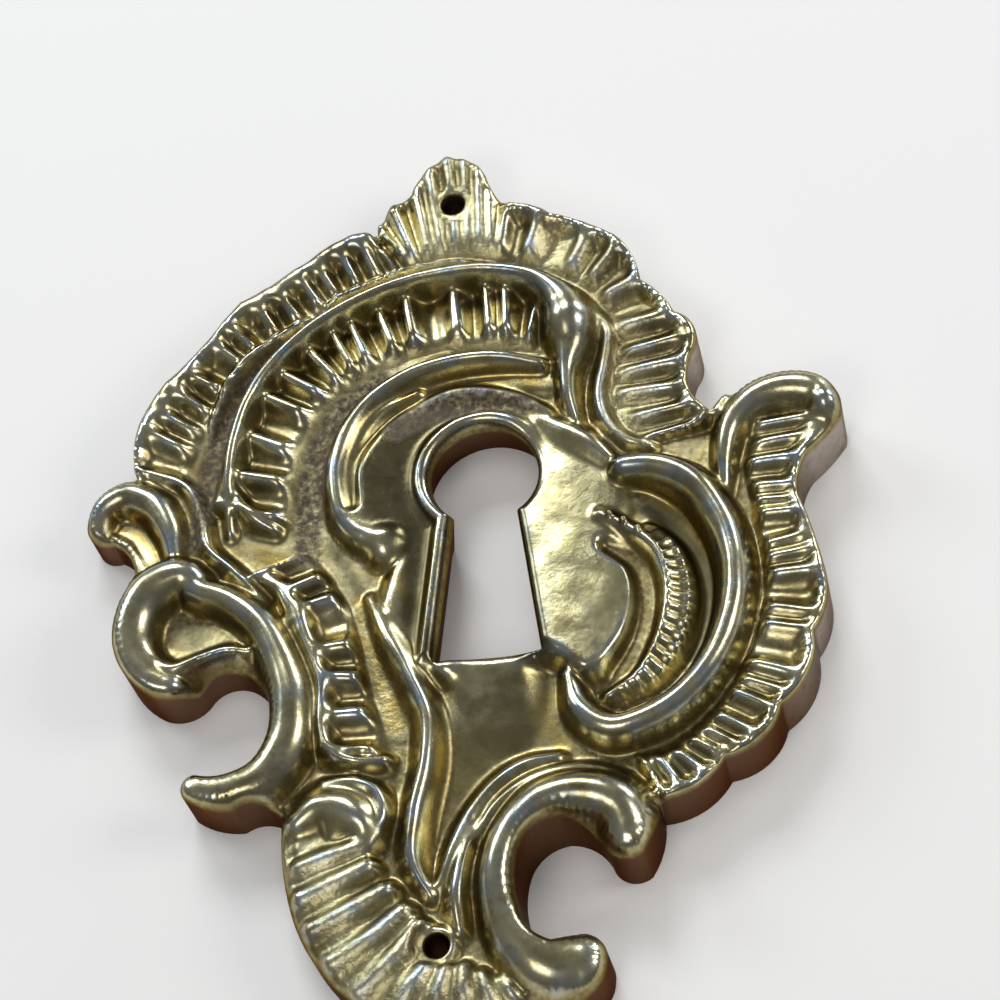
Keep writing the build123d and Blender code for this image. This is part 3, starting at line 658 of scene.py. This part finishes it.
def drawn_streaks(number, gaps, places):
    """Streaks along one flute, from noise that is stretched along it."""
    streaks = []
    for gap, place in zip(gaps, places):
        streaks.append(noise_at(Vector((gap * DRAWN_ACROSS, number * DRAWN_APART, place * DRAWN_ALONG))))
    return DRAWN * np.array(streaks)


def flute_heights(points, number, left_rib, right_rib, band):
    """Heights in the flute between two ribs, and how far along it the points lie."""
    _, outer_z, inner_z, outer_dip, inner_dip, lip = band
    gap_left, along_left = rib_measure(points, left_rib)
    gap_right, along_right = rib_measure(points, right_rib)
    width = gap_left + gap_right
    across = gap_left / np.maximum(width, TINY)
    along = along_left * (1 - across) + along_right * across
    t = np.clip(along, 0, 1)
    scoop = SCOOP_FLAT * smooth_step(*SCOOP_SIDE, np.minimum(gap_left, gap_right))
    scoop += SCOOP_ROUND * np.sin(np.pi * across)**SCOOP_POWER
    scoop *= np.clip(width / SCOOP_WIDTH, SCOOP_LEAST, 1.0)
    start = LIPPED_START if lip else FLUTE_START
    scoop *= smooth_step(start - FLUTE_MOUTH, start, along)
    scoop *= 1 - FLUTE_CLOSE * smooth_step(*FLUTE_END, along)
    dip = outer_dip + (inner_dip - outer_dip) * t
    top = outer_z + (inner_z - outer_z) * t + lip * (1 - smooth_step(*LIP_FADE, along))
    turn = UNEVEN_TURN * number
    top += UNEVEN * (math.sin(turn) * (1 - across) + math.sin(turn + UNEVEN_TURN) * across)
    return top - dip * scoop + drawn_streaks(number, gap_left, along), along


def flute_bands(points, z, bands):
    """Heights with flutes scooped out between each two ribs of a band."""
    for band in bands:
        ribs = np.array(band[0])
        run = ribs[:, :2] - ribs[:, 2:]
        outward = ribs[:, :2] + OUTER_RUN * run
        inward = ribs[:, 2:] - INNER_RUN * run
        for i in range(len(ribs) - 1):
            corners = np.array([outward[i], outward[i + 1], inward[i + 1], inward[i]])
            found = np.nonzero(inside_loop(points, corners))[0]
            height, along = flute_heights(points[found], i, ribs[i], ribs[i + 1], band)
            z[found] += (height - z[found]) * (1 - smooth_step(*BAND_FADE, along))
    return z


def raise_knobs(points, z, knobs, blend):
    """Heights with round knobs raised."""
    for x, y, r, crest in knobs:
        off = np.hypot(points[:, 0] - x, points[:, 1] - y)
        top = half_round(off, r, crest)
        top[off > r] = 0
        z = soft_max(z, top, blend)
    return z


def dome_shield(points, z):
    """Heights with the smooth shield round the keyhole."""
    x, y = points[:, 0], points[:, 1]
    right = SHIELD_RIGHT_Z - x**2 / SHIELD_ARCH - SHIELD_DROOP * x**3 - SHIELD_LEAN * (y - SHIELD_RIGHT_Y)
    left = SHIELD_LEFT_Z + SHIELD_LEFT_RISE * np.maximum(SHIELD_LEFT_X - x, 0)
    share = smooth_step(*SHIELD_TURN, x - SHIELD_SLANT * y)
    dome = left * (1 - share) + right * share
    edge = smooth_line(SHIELD_EDGE + SHIELD_EDGE[:1])
    off = loop_distance(points, edge, SHIELD_REACH)
    depth = np.where(inside_loop(points, edge), off, -off)
    weight = smooth_step(*SHIELD_FADE, depth)
    return z * (1 - weight) + dome * weight


def roll_rim(points, z, keyhole):
    """Heights with a rolled rim round the keyhole."""
    x, y = points[:, 0], points[:, 1]
    off = loop_distance(points, keyhole, RIM_FADE[1])
    crest = RIM_Z + RIM_RISE * (1 - smooth_step(*RIM_RISE_Y, y))
    weight = 1 / (1 + (np.abs(off - RIM_HALF) / RIM_HALF)**RIM_POWER) * (1 - smooth_step(*RIM_FADE, off))
    weight *= (1 - smooth_step(*RIM_RIGHT, x - SHIELD_SLANT * y)) * smooth_step(*RIM_FOOT, y)
    return z + np.maximum(crest - z, 0) * weight


def bead_row(points, z):
    """Heights with the notched band, and the pearls at the head of the ridge beside it."""
    line = smooth_line(BEAD_BAND)
    walked = np.concatenate([[0], np.cumsum(np.linalg.norm(np.diff(line[:, :2], axis=0), axis=1))])
    reach = NOTCH_FADE[1] * line[:, 2].max()
    found, off, columns = near_line(points, np.column_stack([line, walked]), reach)
    notch = 0.5 - 0.5 * np.cos(2 * np.pi * columns[:, 4] / NOTCH_PITCH)
    z[found] -= NOTCH_DEPTH * notch * (1 - smooth_step(*NOTCH_FADE, off / columns[:, 2]))
    return raise_knobs(points, z, PEARLS, PEARL_BLEND)


def waves(points, pitch, height, layer):
    """Slight unevenness of a cast and hand-finished surface."""
    return height * np.array([noise_at(Vector((x * pitch, y * pitch, layer))) for x, y in points])


def round_edge(z, off, r):
    """Heights that fall in a quarter round towards an edge."""
    return z - (r - np.sqrt(np.clip(r**2 - np.clip(r - off, 0, r)**2, 0, None)))


def blurred(values, faces, reach):
    """Values averaged with their neighbours' over the mesh, in as many turns as spread them over a reach."""
    a = np.concatenate([faces[:, 0], faces[:, 1], faces[:, 2]])
    b = np.concatenate([faces[:, 1], faces[:, 2], faces[:, 0]])
    count = np.bincount(a, minlength=len(values)) + np.bincount(b, minlength=len(values)) + 1.0
    for _ in range(round(0.75 * (reach / POINT_STEP)**2)):
        total = np.bincount(a, values[b], len(values)) + np.bincount(b, values[a], len(values)) + values
        values = total / count
    return values


def even_ground(points, z, nail):
    """Heights with even ground round a nail hole, and the hole's rounded edge."""
    off = loop_distance(points, nail, NAIL_REACH)
    weight = 1 - smooth_step(*NAIL_LAND, off)
    z = z * (1 - weight) + np.mean(z[off < NAIL_LAND[1]]) * weight
    return round_edge(z, off, NAIL_EDGE_R)


def relief(points, faces, outline, keyhole, nails):
    """Height of the front over every point in plan."""
    z = np.full(len(points), GROUND)
    z = dome_shield(points, z)
    z = flute_bands(points, z, BANDS)
    z = sink_floors(points, z, FLOORS)
    z = raise_lines(points, z, [SHELL_BODY])
    z = raise_scrolls(points, z, SHELL_RIBS)
    z = raise_lines(points, z, LINES)
    z = raise_scrolls(points, z, SCROLLS)
    z = raise_knobs(points, z, KNOBS, KNOB_BLEND)
    z = blurred(z, faces, SOFTENING)
    z = bead_row(points, z)
    z = roll_rim(points, z, keyhole)
    z = np.minimum(z + (waves(points, *WIDE_WAVE) + waves(points, *FINE_WAVE)), TOP)
    z = round_edge(z, loop_distance(points, outline, OUTER_EDGE_R), OUTER_EDGE_R)
    z = round_edge(z, loop_distance(points, keyhole, KEYHOLE_EDGE_R), KEYHOLE_EDGE_R)
    for nail in nails:
        z = even_ground(points, z, nail)
    return z


def strips(points, guides):
    """Mask that is 1 along guide lines and fades out at their half width."""
    values = np.zeros(len(points))
    for stations in guides:
        line = smooth_line(stations)
        found, off, columns = near_line(points, line, STRIP_FADE[1] * line[:, 2].max())
        values[found] = np.maximum(values[found], 1 - smooth_step(*STRIP_FADE, off / columns[:, 2]))
    return values


def steepness(points, z, faces):
    """How steep the relief is at every point, as its rise over its run."""
    corners = np.column_stack([points, z])[faces]
    tilt = np.cross(corners[:, 1] - corners[:, 0], corners[:, 2] - corners[:, 0])
    total = np.zeros((3, len(points)))
    for axis in range(3):
        for corner in range(3):
            total[axis] += np.bincount(faces[:, corner], tilt[:, axis], len(points))
    return np.hypot(total[0], total[1]) / np.maximum(np.abs(total[2]), TINY)


def turned_edge(points, keyhole):
    """Mask of painted shade on the keyhole's edge at the right of its slot."""
    off = loop_distance(points, keyhole, TURNED_REACH)
    right = smooth_step(*TURNED_X, points[:, 0]) * (1 - smooth_step(*TURNED_Y, points[:, 1]))
    return (1 - smooth_step(*TURNED_EDGE, off)) * right


def finish_and_painted_light_masks(points, z, faces, keyhole):
    """Where the brass has dirt and painted shade in the hollows, wear and a painted highlight on the crests,
    painted shade on steep flanks, on some floors and at the keyhole's edge, a painted gold reflection, or is
    left rough.
    """
    near = blurred(z, faces, NEAR_REACH) - z
    wide = blurred(z, faces, WIDE_REACH) - z
    gold_reflection = strips(points, GOLD_REFLECTION_STRIPS)
    pebbled = strips(points, PEBBLED)
    hollow = smooth_step(*WIDE_HOLLOW, wide) * WIDE_SHARE + smooth_step(*NEAR_HOLLOW, near) * NEAR_SHARE
    # painted shade on low floors, together with the dirt
    hollow = np.maximum(hollow, LOW_SHARE * (1 - smooth_step(*LOW_FLOOR, z)))
    return {
        "hollow": np.clip(hollow, 0, 1) * (1 - HOLLOW_CUT_SHARE * np.maximum(pebbled, gold_reflection)),
        "crest": smooth_step(*CREST_EDGE, -near),
        "flank": smooth_step(*FLANK_EDGE, steepness(points, z, faces)),
        "gold_reflection": gold_reflection,
        "rough": strips(points, ROUGH_FLOORS),
        "pebbled": pebbled,
        "painted_shade": np.maximum(strips(points, PAINTED_SHADE_FLOORS), turned_edge(points, keyhole)),
        "wall": np.zeros(len(points)),
    }


def loop_length(loop):
    """Length of a closed loop."""
    return np.linalg.norm(loop - np.roll(loop, 1, axis=0), axis=1).sum()


def back_loops(node):
    """Closed loops of the solid's back plane in millimetres, longest first."""
    bm = bmesh.new()
    bm.from_mesh(node.data)
    bmesh.ops.remove_doubles(bm, verts=bm.verts, dist=1e-6)
    high = [face for face in bm.faces if max(v.co.z for v in face.verts) > 1e-6]
    bmesh.ops.delete(bm, geom=high, context="FACES")
    edges = {edge for edge in bm.edges if edge.is_boundary}
    loops = []
    while edges:
        start, at = edges.pop().verts
        chain = [start.co.to_2d() / MM]
        while at is not start:
            chain.append(at.co.to_2d() / MM)
            edge = next(e for e in at.link_edges if e in edges)
            edges.remove(edge)
            at = edge.other_vert(at)
        loops.append(np.array(chain))
    bm.free()
    return sorted(loops, key=loop_length, reverse=True)


def even_loop(loop, step):
    """Loop with its long sides split into even pieces no longer than step."""
    pieces = []
    for a, b in zip(loop, np.roll(loop, -1, axis=0)):
        count = max(1, math.ceil(np.linalg.norm(b - a) / step))
        pieces.append(a + (b - a) * np.arange(count)[:, None] / count)
    return np.vstack(pieces)


def edge_rings(loop, inward):
    """Points at set distances inside an edge, which carry its rounding."""
    along = np.roll(loop, -1, axis=0) - np.roll(loop, 1, axis=0)
    along /= np.maximum(np.linalg.norm(along, axis=1), TINY)[:, None]
    turn = np.sign(np.sum(loop[:, 0] * np.roll(loop[:, 1], -1) - np.roll(loop[:, 0], -1) * loop[:, 1]))
    normal = np.stack([-along[:, 1], along[:, 0]], axis=1) * turn * inward
    return np.vstack([loop + normal * ring for ring in EDGE_RINGS])


def clear_of_edges(points, loops, gap):
    """Points on the plate that lie further than gap from its edges. The first loop is the outline."""
    keep = inside_loop(points, loops[0])
    for hole in loops[1:]:
        keep &= ~inside_loop(points, hole)
    for loop in loops:
        keep &= loop_distance(points, loop, 2 * gap) > gap
    return points[keep]


def plan_points(loops):
    """Points in plan that the relief stands on: edges first, then rings along them, then an even field."""
    rings = [edge_rings(loops[0], 1)] + [edge_rings(hole, -1) for hole in loops[1:]]
    low = loops[0].min(axis=0)
    high = loops[0].max(axis=0)
    field = []
    for i, y in enumerate(np.arange(low[1], high[1], ROW_STEP)):
        x = np.arange(low[0] + (i % 2) * POINT_STEP / 2, high[0], POINT_STEP)
        field.append(np.stack([x, np.full(len(x), y)], axis=1))
    ring_points = clear_of_edges(np.vstack(rings), loops, RING_CLEARANCE)
    field_points = clear_of_edges(np.vstack(field), loops, FIELD_CLEARANCE)
    return np.vstack(loops + [ring_points, field_points])


def loop_edges(loops):
    """Pairs of neighbours along closed loops whose points follow each other."""
    edges = []
    start = 0
    for loop in loops:
        count = len(loop)
        edges += [(start + i, start + (i + 1) % count) for i in range(count)]
        start += count
    return edges


def plan_mesh(outline, keyhole, nails):
    """Points in plan and the triangles between them, without the holes."""
    loops = [even_loop(loop, EDGE_STEP) for loop in [outline, keyhole] + nails]
    flat = [Vector(p) for p in plan_points(loops)]
    made = delaunay_2d_cdt(flat, loop_edges(loops), [], 1, SAME_POINT)
    points = np.array([tuple(v) for v in made[0]])
    faces = np.array(made[2])
    middles = points[faces].mean(axis=1)
    keep = inside_loop(middles, outline)
    for hole in [keyhole] + nails:
        keep &= ~inside_loop(middles, hole)
    return points, faces[keep]


def fill_between(bm, edges):
    """Flat face between closed loops of edges."""
    bmesh.ops.triangle_fill(bm, use_beauty=True, use_dissolve=False, edges=edges)


def flat_loop(bm, loop, z):
    """Closed loop of edges at one height."""
    verts = [bm.verts.new((x * MM, y * MM, z * MM)) for x, y in loop]
    return [bm.edges.new((a, b)) for a, b in zip(verts, verts[1:] + verts[:1])]


def raised_loop(bm, edges, z):
    """Wall from a loop of edges up or down to another height, and the loop at its far end."""
    made = bmesh.ops.extrude_edge_only(bm, edges=edges)["geom"]
    for vert in made:
        if isinstance(vert, bmesh.types.BMVert):
            vert.co.z = z * MM
    return [edge for edge in made if isinstance(edge, bmesh.types.BMEdge)
            and all(abs(v.co.z - z * MM) < TINY for v in edge.verts)]


def carved_front(points, z, faces, masks):
    """The front, with its masks as layers of its points."""
    bm = bmesh.new()
    for (x, y), h in zip(points, z):
        bm.verts.new((x * MM, y * MM, h * MM))
    for name, values in masks.items():
        layer = bm.verts.layers.float.new(name)
        for vert, value in zip(bm.verts, values):
            vert[layer] = value
    verts = list(bm.verts)
    for a, b, c in faces:
        bm.faces.new((verts[a], verts[b], verts[c]))
    loose = [vert for vert in bm.verts if not vert.link_faces]
    bmesh.ops.delete(bm, geom=loose, context="VERTS")
    return bm


def add_walls(bm, keyhole):
    """Walls from the front's edges down to the back. Gives their foot at the keyhole and elsewhere."""
    foot = raised_loop(bm, [edge for edge in bm.edges if edge.is_boundary], 0)
    wall = bm.verts.layers.float["wall"]
    low = keyhole.min(axis=0) - KEYHOLE_MARGIN
    high = keyhole.max(axis=0) + KEYHOLE_MARGIN
    keyhole_foot = []
    outer_foot = []
    for edge in foot:
        for vert in edge.verts:
            vert[wall] = 1.0
        here = np.array(edge.verts[0].co.to_2d()) / MM
        at_keyhole = np.all((low < here) & (here < high))
        (keyhole_foot if at_keyhole else outer_foot).append(edge)
    return keyhole_foot, outer_foot


def widen_keyhole(keyhole_foot, collar):
    """Draft of the keyhole's walls: their foot moves out towards the collar's edge."""
    collar_points = even_loop(collar, COLLAR_STEP)
    for vert in {vert for edge in keyhole_foot for vert in edge.verts}:
        here = np.array(vert.co.to_2d()) / MM
        towards = collar_points[np.argmin(np.linalg.norm(collar_points - here, axis=1))] - here
        vert.co.xy += Vector(towards / np.linalg.norm(towards)) * KEYHOLE_DRAFT * MM


def add_back(bm, keyhole_foot, outer_foot, hollow, collar):
    """Flat back with its hollow, and the collar round the keyhole."""
    hollow_foot = flat_loop(bm, even_loop(hollow, BACK_STEP), 0)
    collar_foot = flat_loop(bm, even_loop(collar, BACK_STEP), 0)
    fill_between(bm, outer_foot + hollow_foot)
    fill_between(bm, keyhole_foot + collar_foot)
    fill_between(bm, raised_loop(bm, hollow_foot, ROOF) + raised_loop(bm, collar_foot, ROOF))


def linked_piece(bm, name, material):
    """Object made of a bmesh, in the scene."""
    mesh = bpy.data.meshes.new(name)
    bm.to_mesh(mesh)
    bm.free()
    mesh.materials.append(material)
    piece = bpy.data.objects.new(name, mesh)
    bpy.context.scene.collection.objects.link(piece)
    return piece


def drawing_shift():
    """Offset from the drawing's origin to the frame's, in millimetres, from the upper nail hole."""
    for mount in frame["record"]["mounts"]:
        if mount["name"] == "upper_nail":
            return np.array(mount["pos_m"][:2]) / MM - np.array(NAIL_IN_DRAWING)
    return np.zeros(2)


def escutcheon(material):
    """The plate: carved front, upright walls, hollow back with its collar."""
    outline, hollow, collar, keyhole, *nails = back_loops(frame["nodes"][NODE])
    points, faces = plan_mesh(outline, keyhole, nails)
    shift = drawing_shift()
    drawing = points - shift
    z = relief(drawing, faces, outline - shift, keyhole - shift, [nail - shift for nail in nails])
    masks = finish_and_painted_light_masks(drawing, z, faces, keyhole - shift)
    bm = carved_front(points, z, faces, masks)
    keyhole_foot, outer_foot = add_walls(bm, keyhole)
    widen_keyhole(keyhole_foot, collar)
    add_back(bm, keyhole_foot, outer_foot, hollow, collar)
    bmesh.ops.recalc_face_normals(bm, faces=bm.faces)
    for face in bm.faces:
        face.smooth = True
    for edge in bm.edges:
        edge.smooth = edge.calc_face_angle(0) < math.radians(SHARP_ANGLE)
    return linked_piece(bm, "Escutcheon", material)


def opaque(colour):
    """Colour with full alpha."""
    return (*colour, 1)


def feed(tree, socket, value):
    """Link a socket to an input, or set the input to a value."""
    if isinstance(value, bpy.types.NodeSocket):
        tree.links.new(value, socket)
    else:
        socket.default_value = value


def mix_colour(tree, share, a, b):
    """Colour between a and b."""
    node = tree.nodes.new("ShaderNodeMix")
    node.data_type = "RGBA"
    for number, value in [(0, share), (6, a), (7, b)]:
        feed(tree, node.inputs[number], value)
    return node.outputs[2]


def math_node(tree, operation, a, b):
    """Result of a sum on two values, kept between 0 and 1."""
    node = tree.nodes.new("ShaderNodeMath")
    node.operation = operation
    node.use_clamp = True
    feed(tree, node.inputs[0], a)
    feed(tree, node.inputs[1], b)
    return node.outputs[0]


def times(tree, a, b):
    """Product of two values."""
    return math_node(tree, "MULTIPLY", a, b)


def plus(tree, a, b):
    """Sum of two values."""
    return math_node(tree, "ADD", a, b)


def mask(tree, name):
    """One of the plate's own masks."""
    node = tree.nodes.new("ShaderNodeAttribute")
    node.attribute_name = name
    return node.outputs["Fac"]


def noise(tree, where, spots, detail):
    """Noise on the plate, with so many spots per metre."""
    node = tree.nodes.new("ShaderNodeTexNoise")
    feed(tree, node.inputs["Vector"], where)
    feed(tree, node.inputs["Scale"], spots)
    feed(tree, node.inputs["Detail"], detail)
    feed(tree, node.inputs["Roughness"], NOISE_ROUGHNESS)
    return node.outputs["Fac"]


def spread(tree, value, low, high):
    """Value stretched so that low becomes 0 and high becomes 1."""
    node = tree.nodes.new("ShaderNodeMapRange")
    feed(tree, node.inputs["Value"], value)
    feed(tree, node.inputs["From Min"], low)
    feed(tree, node.inputs["From Max"], high)
    return node.outputs["Result"]


def coat(tree, under, share, colour):
    """Colour laid over another one by a share that changes over the plate."""
    return mix_colour(tree, share, under, opaque(colour))


def painted_wall_light_and_shade(tree, where):
    """Colour of the outer walls: brown painted shade at the left, grey painted light at the right."""
    facing = tree.nodes.new("ShaderNodeVectorMath")
    facing.operation = "DOT_PRODUCT"
    feed(tree, facing.inputs[0], where)
    feed(tree, facing.inputs[1], WALL_FACING)
    side = spread(tree, facing.outputs["Value"], *WALL_TURN)
    return mix_colour(tree, side, opaque(WALL_PAINTED_SHADE), opaque(WALL_PAINTED_LIGHT))


def brass_colour(tree, where, masks, dents, grain):
    """Colour of the brass, from the bare metal up to dirt and painted shade, with a painted highlight,
    painted blue and gold reflections and painted light and shade on the walls.
    """
    blotch = spread(tree, noise(tree, where, *BLOTCHES), *BLOTCH_EDGE)
    stain = spread(tree, noise(tree, where, *STAINS), *STAIN_EDGE)
    blue_reflection = times(tree, masks["crest"], spread(tree, noise(tree, where, *BLUE_REFLECTION_SPOTS), *BLUE_REFLECTION_EDGE))
    gold_reflection = times(tree, masks["gold_reflection"], spread(tree, dents, *GOLD_REFLECTION_EDGE))
    hollow_dirt_and_shade = times(tree, masks["hollow"], spread(tree, grain, *HOLLOW_DIRT_AND_SHADE_EDGE))
    pits = spread(tree, noise(tree, where, *PITS), *PIT_EDGE)
    rough = times(tree, masks["rough"], spread(tree, grain, *ROUGH_EDGE))
    brass = mix_colour(tree, blotch, opaque(BRASS_DULL), opaque(BRASS_PALE))
    # crests: wear with a painted highlight
    brass = coat(tree, brass, times(tree, masks["crest"], CREST_SHARE), CREST_WEAR_AND_PAINTED_HIGHLIGHT)
    brass = coat(tree, brass, times(tree, stain, STAIN_SHARE), STAIN)
    # painted blue reflection on the crests
    brass = coat(tree, brass, times(tree, blue_reflection, BLUE_REFLECTION_SHARE), PAINTED_BLUE_REFLECTION)
    # painted gold reflection
    brass = coat(tree, brass, times(tree, gold_reflection, GOLD_REFLECTION_SHARE), PAINTED_GOLD_REFLECTION)
    # painted shade on steep flanks
    brass = coat(tree, brass, times(tree, masks["flank"], FLANK_SHARE), PAINTED_FLANK_SHADE)
    # dirt and painted shade in the hollows
    brass = coat(tree, brass, hollow_dirt_and_shade, HOLLOW_DIRT_AND_SHADE)
    # painted shade on some floors and at the keyhole's edge
    brass = coat(tree, brass, times(tree, masks["painted_shade"], DARK_SHARE), PAINTED_DARK_SHADE)
    # walls with painted light and shade
    brass = mix_colour(tree, spread(tree, masks["wall"], *WALL_FADE), brass, painted_wall_light_and_shade(tree, where))
    brass = coat(tree, brass, times(tree, pits, PIT_SHARE), PIT_SHADE)
    return coat(tree, brass, rough, ROUGH_CAST)


def brass_roughness(tree, masks, grain):
    """Roughness of the brass: polished, duller in the hollows and on rough floors."""
    matt = plus(tree, times(tree, masks["rough"], ROUGH_MATT), times(tree, masks["hollow"], HOLLOW_MATT))
    matt = plus(tree, matt, times(tree, masks["pebbled"], PEBBLE_MATT))
    matt = plus(tree, matt, times(tree, grain, GRAIN_MATT))
    return plus(tree, matt, POLISH)


def brass_normal(tree, masks, dents, grain):
    """Fine relief of the brass: grain on rough and pebbled floors, slight dents elsewhere."""
    pebbled = times(tree, masks["pebbled"], PEBBLE_RELIEF)
    depth = plus(tree, times(tree, masks["rough"], ROUGH_RELIEF), pebbled)
    fine = times(tree, grain, plus(tree, depth, GRAIN_RELIEF))
    broad = times(tree, dents, plus(tree, pebbled, DENT_RELIEF))
    bump = tree.nodes.new("ShaderNodeBump")
    feed(tree, bump.inputs["Height"], plus(tree, fine, broad))
    feed(tree, bump.inputs["Distance"], BUMP_HEIGHT)
    feed(tree, bump.inputs["Strength"], BUMP_STRENGTH)
    return bump.outputs["Normal"]


def aged_brass():
    """Aged polished brass: pale where worn with a painted highlight on the crests, painted blue and gold
    reflections, brown dirt and painted shade in the hollows, painted shade on flanks, some floors and walls,
    grey and matt where it was left rough.
    """
    material = bpy.data.materials.new("Aged brass")
    material.use_nodes = True
    tree = material.node_tree
    where = tree.nodes.new("ShaderNodeTexCoord").outputs["Object"]
    names = ["hollow", "crest", "flank", "gold_reflection", "rough", "pebbled", "painted_shade", "wall"]
    masks = {name: mask(tree, name) for name in names}
    dents = noise(tree, where, *DENTS)
    grain = noise(tree, where, *GRAIN)
    metal = spread(tree, times(tree, masks["rough"], ROUGH_SKIN), 1.0, 0.0)
    inputs = tree.nodes["Principled BSDF"].inputs
    feed(tree, inputs["Base Color"], brass_colour(tree, where, masks, dents, grain))
    feed(tree, inputs["Metallic"], metal)
    feed(tree, inputs["Roughness"], brass_roughness(tree, masks, grain))
    feed(tree, inputs["Normal"], brass_normal(tree, masks, dents, grain))
    feed(tree, inputs["Specular Tint"], opaque(SHEEN_TINT))
    return material


def pale_floor():
    """Plain pale material of the floor, a little brighter where it is seen or mirrored."""
    material = bpy.data.materials.new("Floor")
    material.use_nodes = True
    tree = material.node_tree
    inputs = tree.nodes["Principled BSDF"].inputs
    rays = tree.nodes.new("ShaderNodeLightPath").outputs
    seen = math_node(tree, "MAXIMUM", rays["Is Camera Ray"], rays["Is Glossy Ray"])
    feed(tree, inputs["Base Color"], opaque(PALE_FLOOR))
    feed(tree, inputs["Roughness"], FLOOR_ROUGHNESS)
    feed(tree, inputs["Emission Color"], (1, 1, 1, 1))
    feed(tree, inputs["Emission Strength"], times(tree, seen, FLOOR_GLOW))
    return material


def floor():
    """Plain pale floor."""
    bm = bmesh.new()
    bmesh.ops.create_grid(bm, x_segments=1, y_segments=1, size=FLOOR_HALF_M)
    piece = linked_piece(bm, "Floor", pale_floor())


def area_light(name, place, size, power, colour):
    """Soft rectangular lamp that points at the plate."""
    light = bpy.data.lights.new(name, "AREA")
    light.shape = "RECTANGLE"
    light.size, light.size_y = size
    light.energy = power
    light.color = colour
    lamp = bpy.data.objects.new(name, light)
    lamp.location = place
    lamp.rotation_euler = (-Vector(place)).to_track_quat("-Z", "Y").to_euler()
    bpy.context.scene.collection.objects.link(lamp)
    return lamp


def studio_light():
    """Soft lamps round the plate, and a fill from above that the brass doesn't mirror."""
    for lamp in LAMPS:
        area_light(*lamp)
    fill = area_light(*FILL)
    fill.visible_glossy = False


def camera(shift):
    """Camera of the photograph: it looks down on the plate from below and a little from the right."""
    tilt = math.radians(CAMERA_TILT)
    turn = math.radians(CAMERA_TURN)
    roll = math.radians(CAMERA_ROLL)
    back = Vector((math.sin(turn), -math.sin(tilt) * math.cos(turn), math.cos(tilt) * math.cos(turn)))
    back.normalize()
    right = Vector((0, 1, 0)).cross(back).normalized()
    up = back.cross(right)
    right_rolled = right * math.cos(roll) + up * math.sin(roll)
    up_rolled = up * math.cos(roll) - right * math.sin(roll)
    target = Vector((shift[0] * MM, shift[1] * MM, CAMERA_TARGET_Z * MM))
    data = bpy.data.cameras.new("Camera")
    data.sensor_width = SENSOR
    data.lens = SENSOR * CAMERA_DISTANCE / VIEW_WIDTH
    data.clip_start = CLIP_START_M
    eye = bpy.data.objects.new("Camera", data)
    turned = Matrix((right_rolled, up_rolled, back)).transposed().to_4x4()
    eye.matrix_world = Matrix.Translation(target + back * (CAMERA_DISTANCE * MM)) @ turned
    bpy.context.scene.collection.objects.link(eye)
    bpy.context.scene.camera = eye


def world():
    """Dim even room."""
    studio = bpy.data.worlds.new("Studio")
    studio.use_nodes = True
    background = studio.node_tree.nodes["Background"]
    background.inputs["Color"].default_value = opaque(ROOM)
    bpy.context.scene.world = studio


bpy.context.scene.view_settings.view_transform = "Standard"
plate = escutcheon(aged_brass())
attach(plate, "root")
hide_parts(NODE)
floor()
camera(drawing_shift())
world()
studio_light()
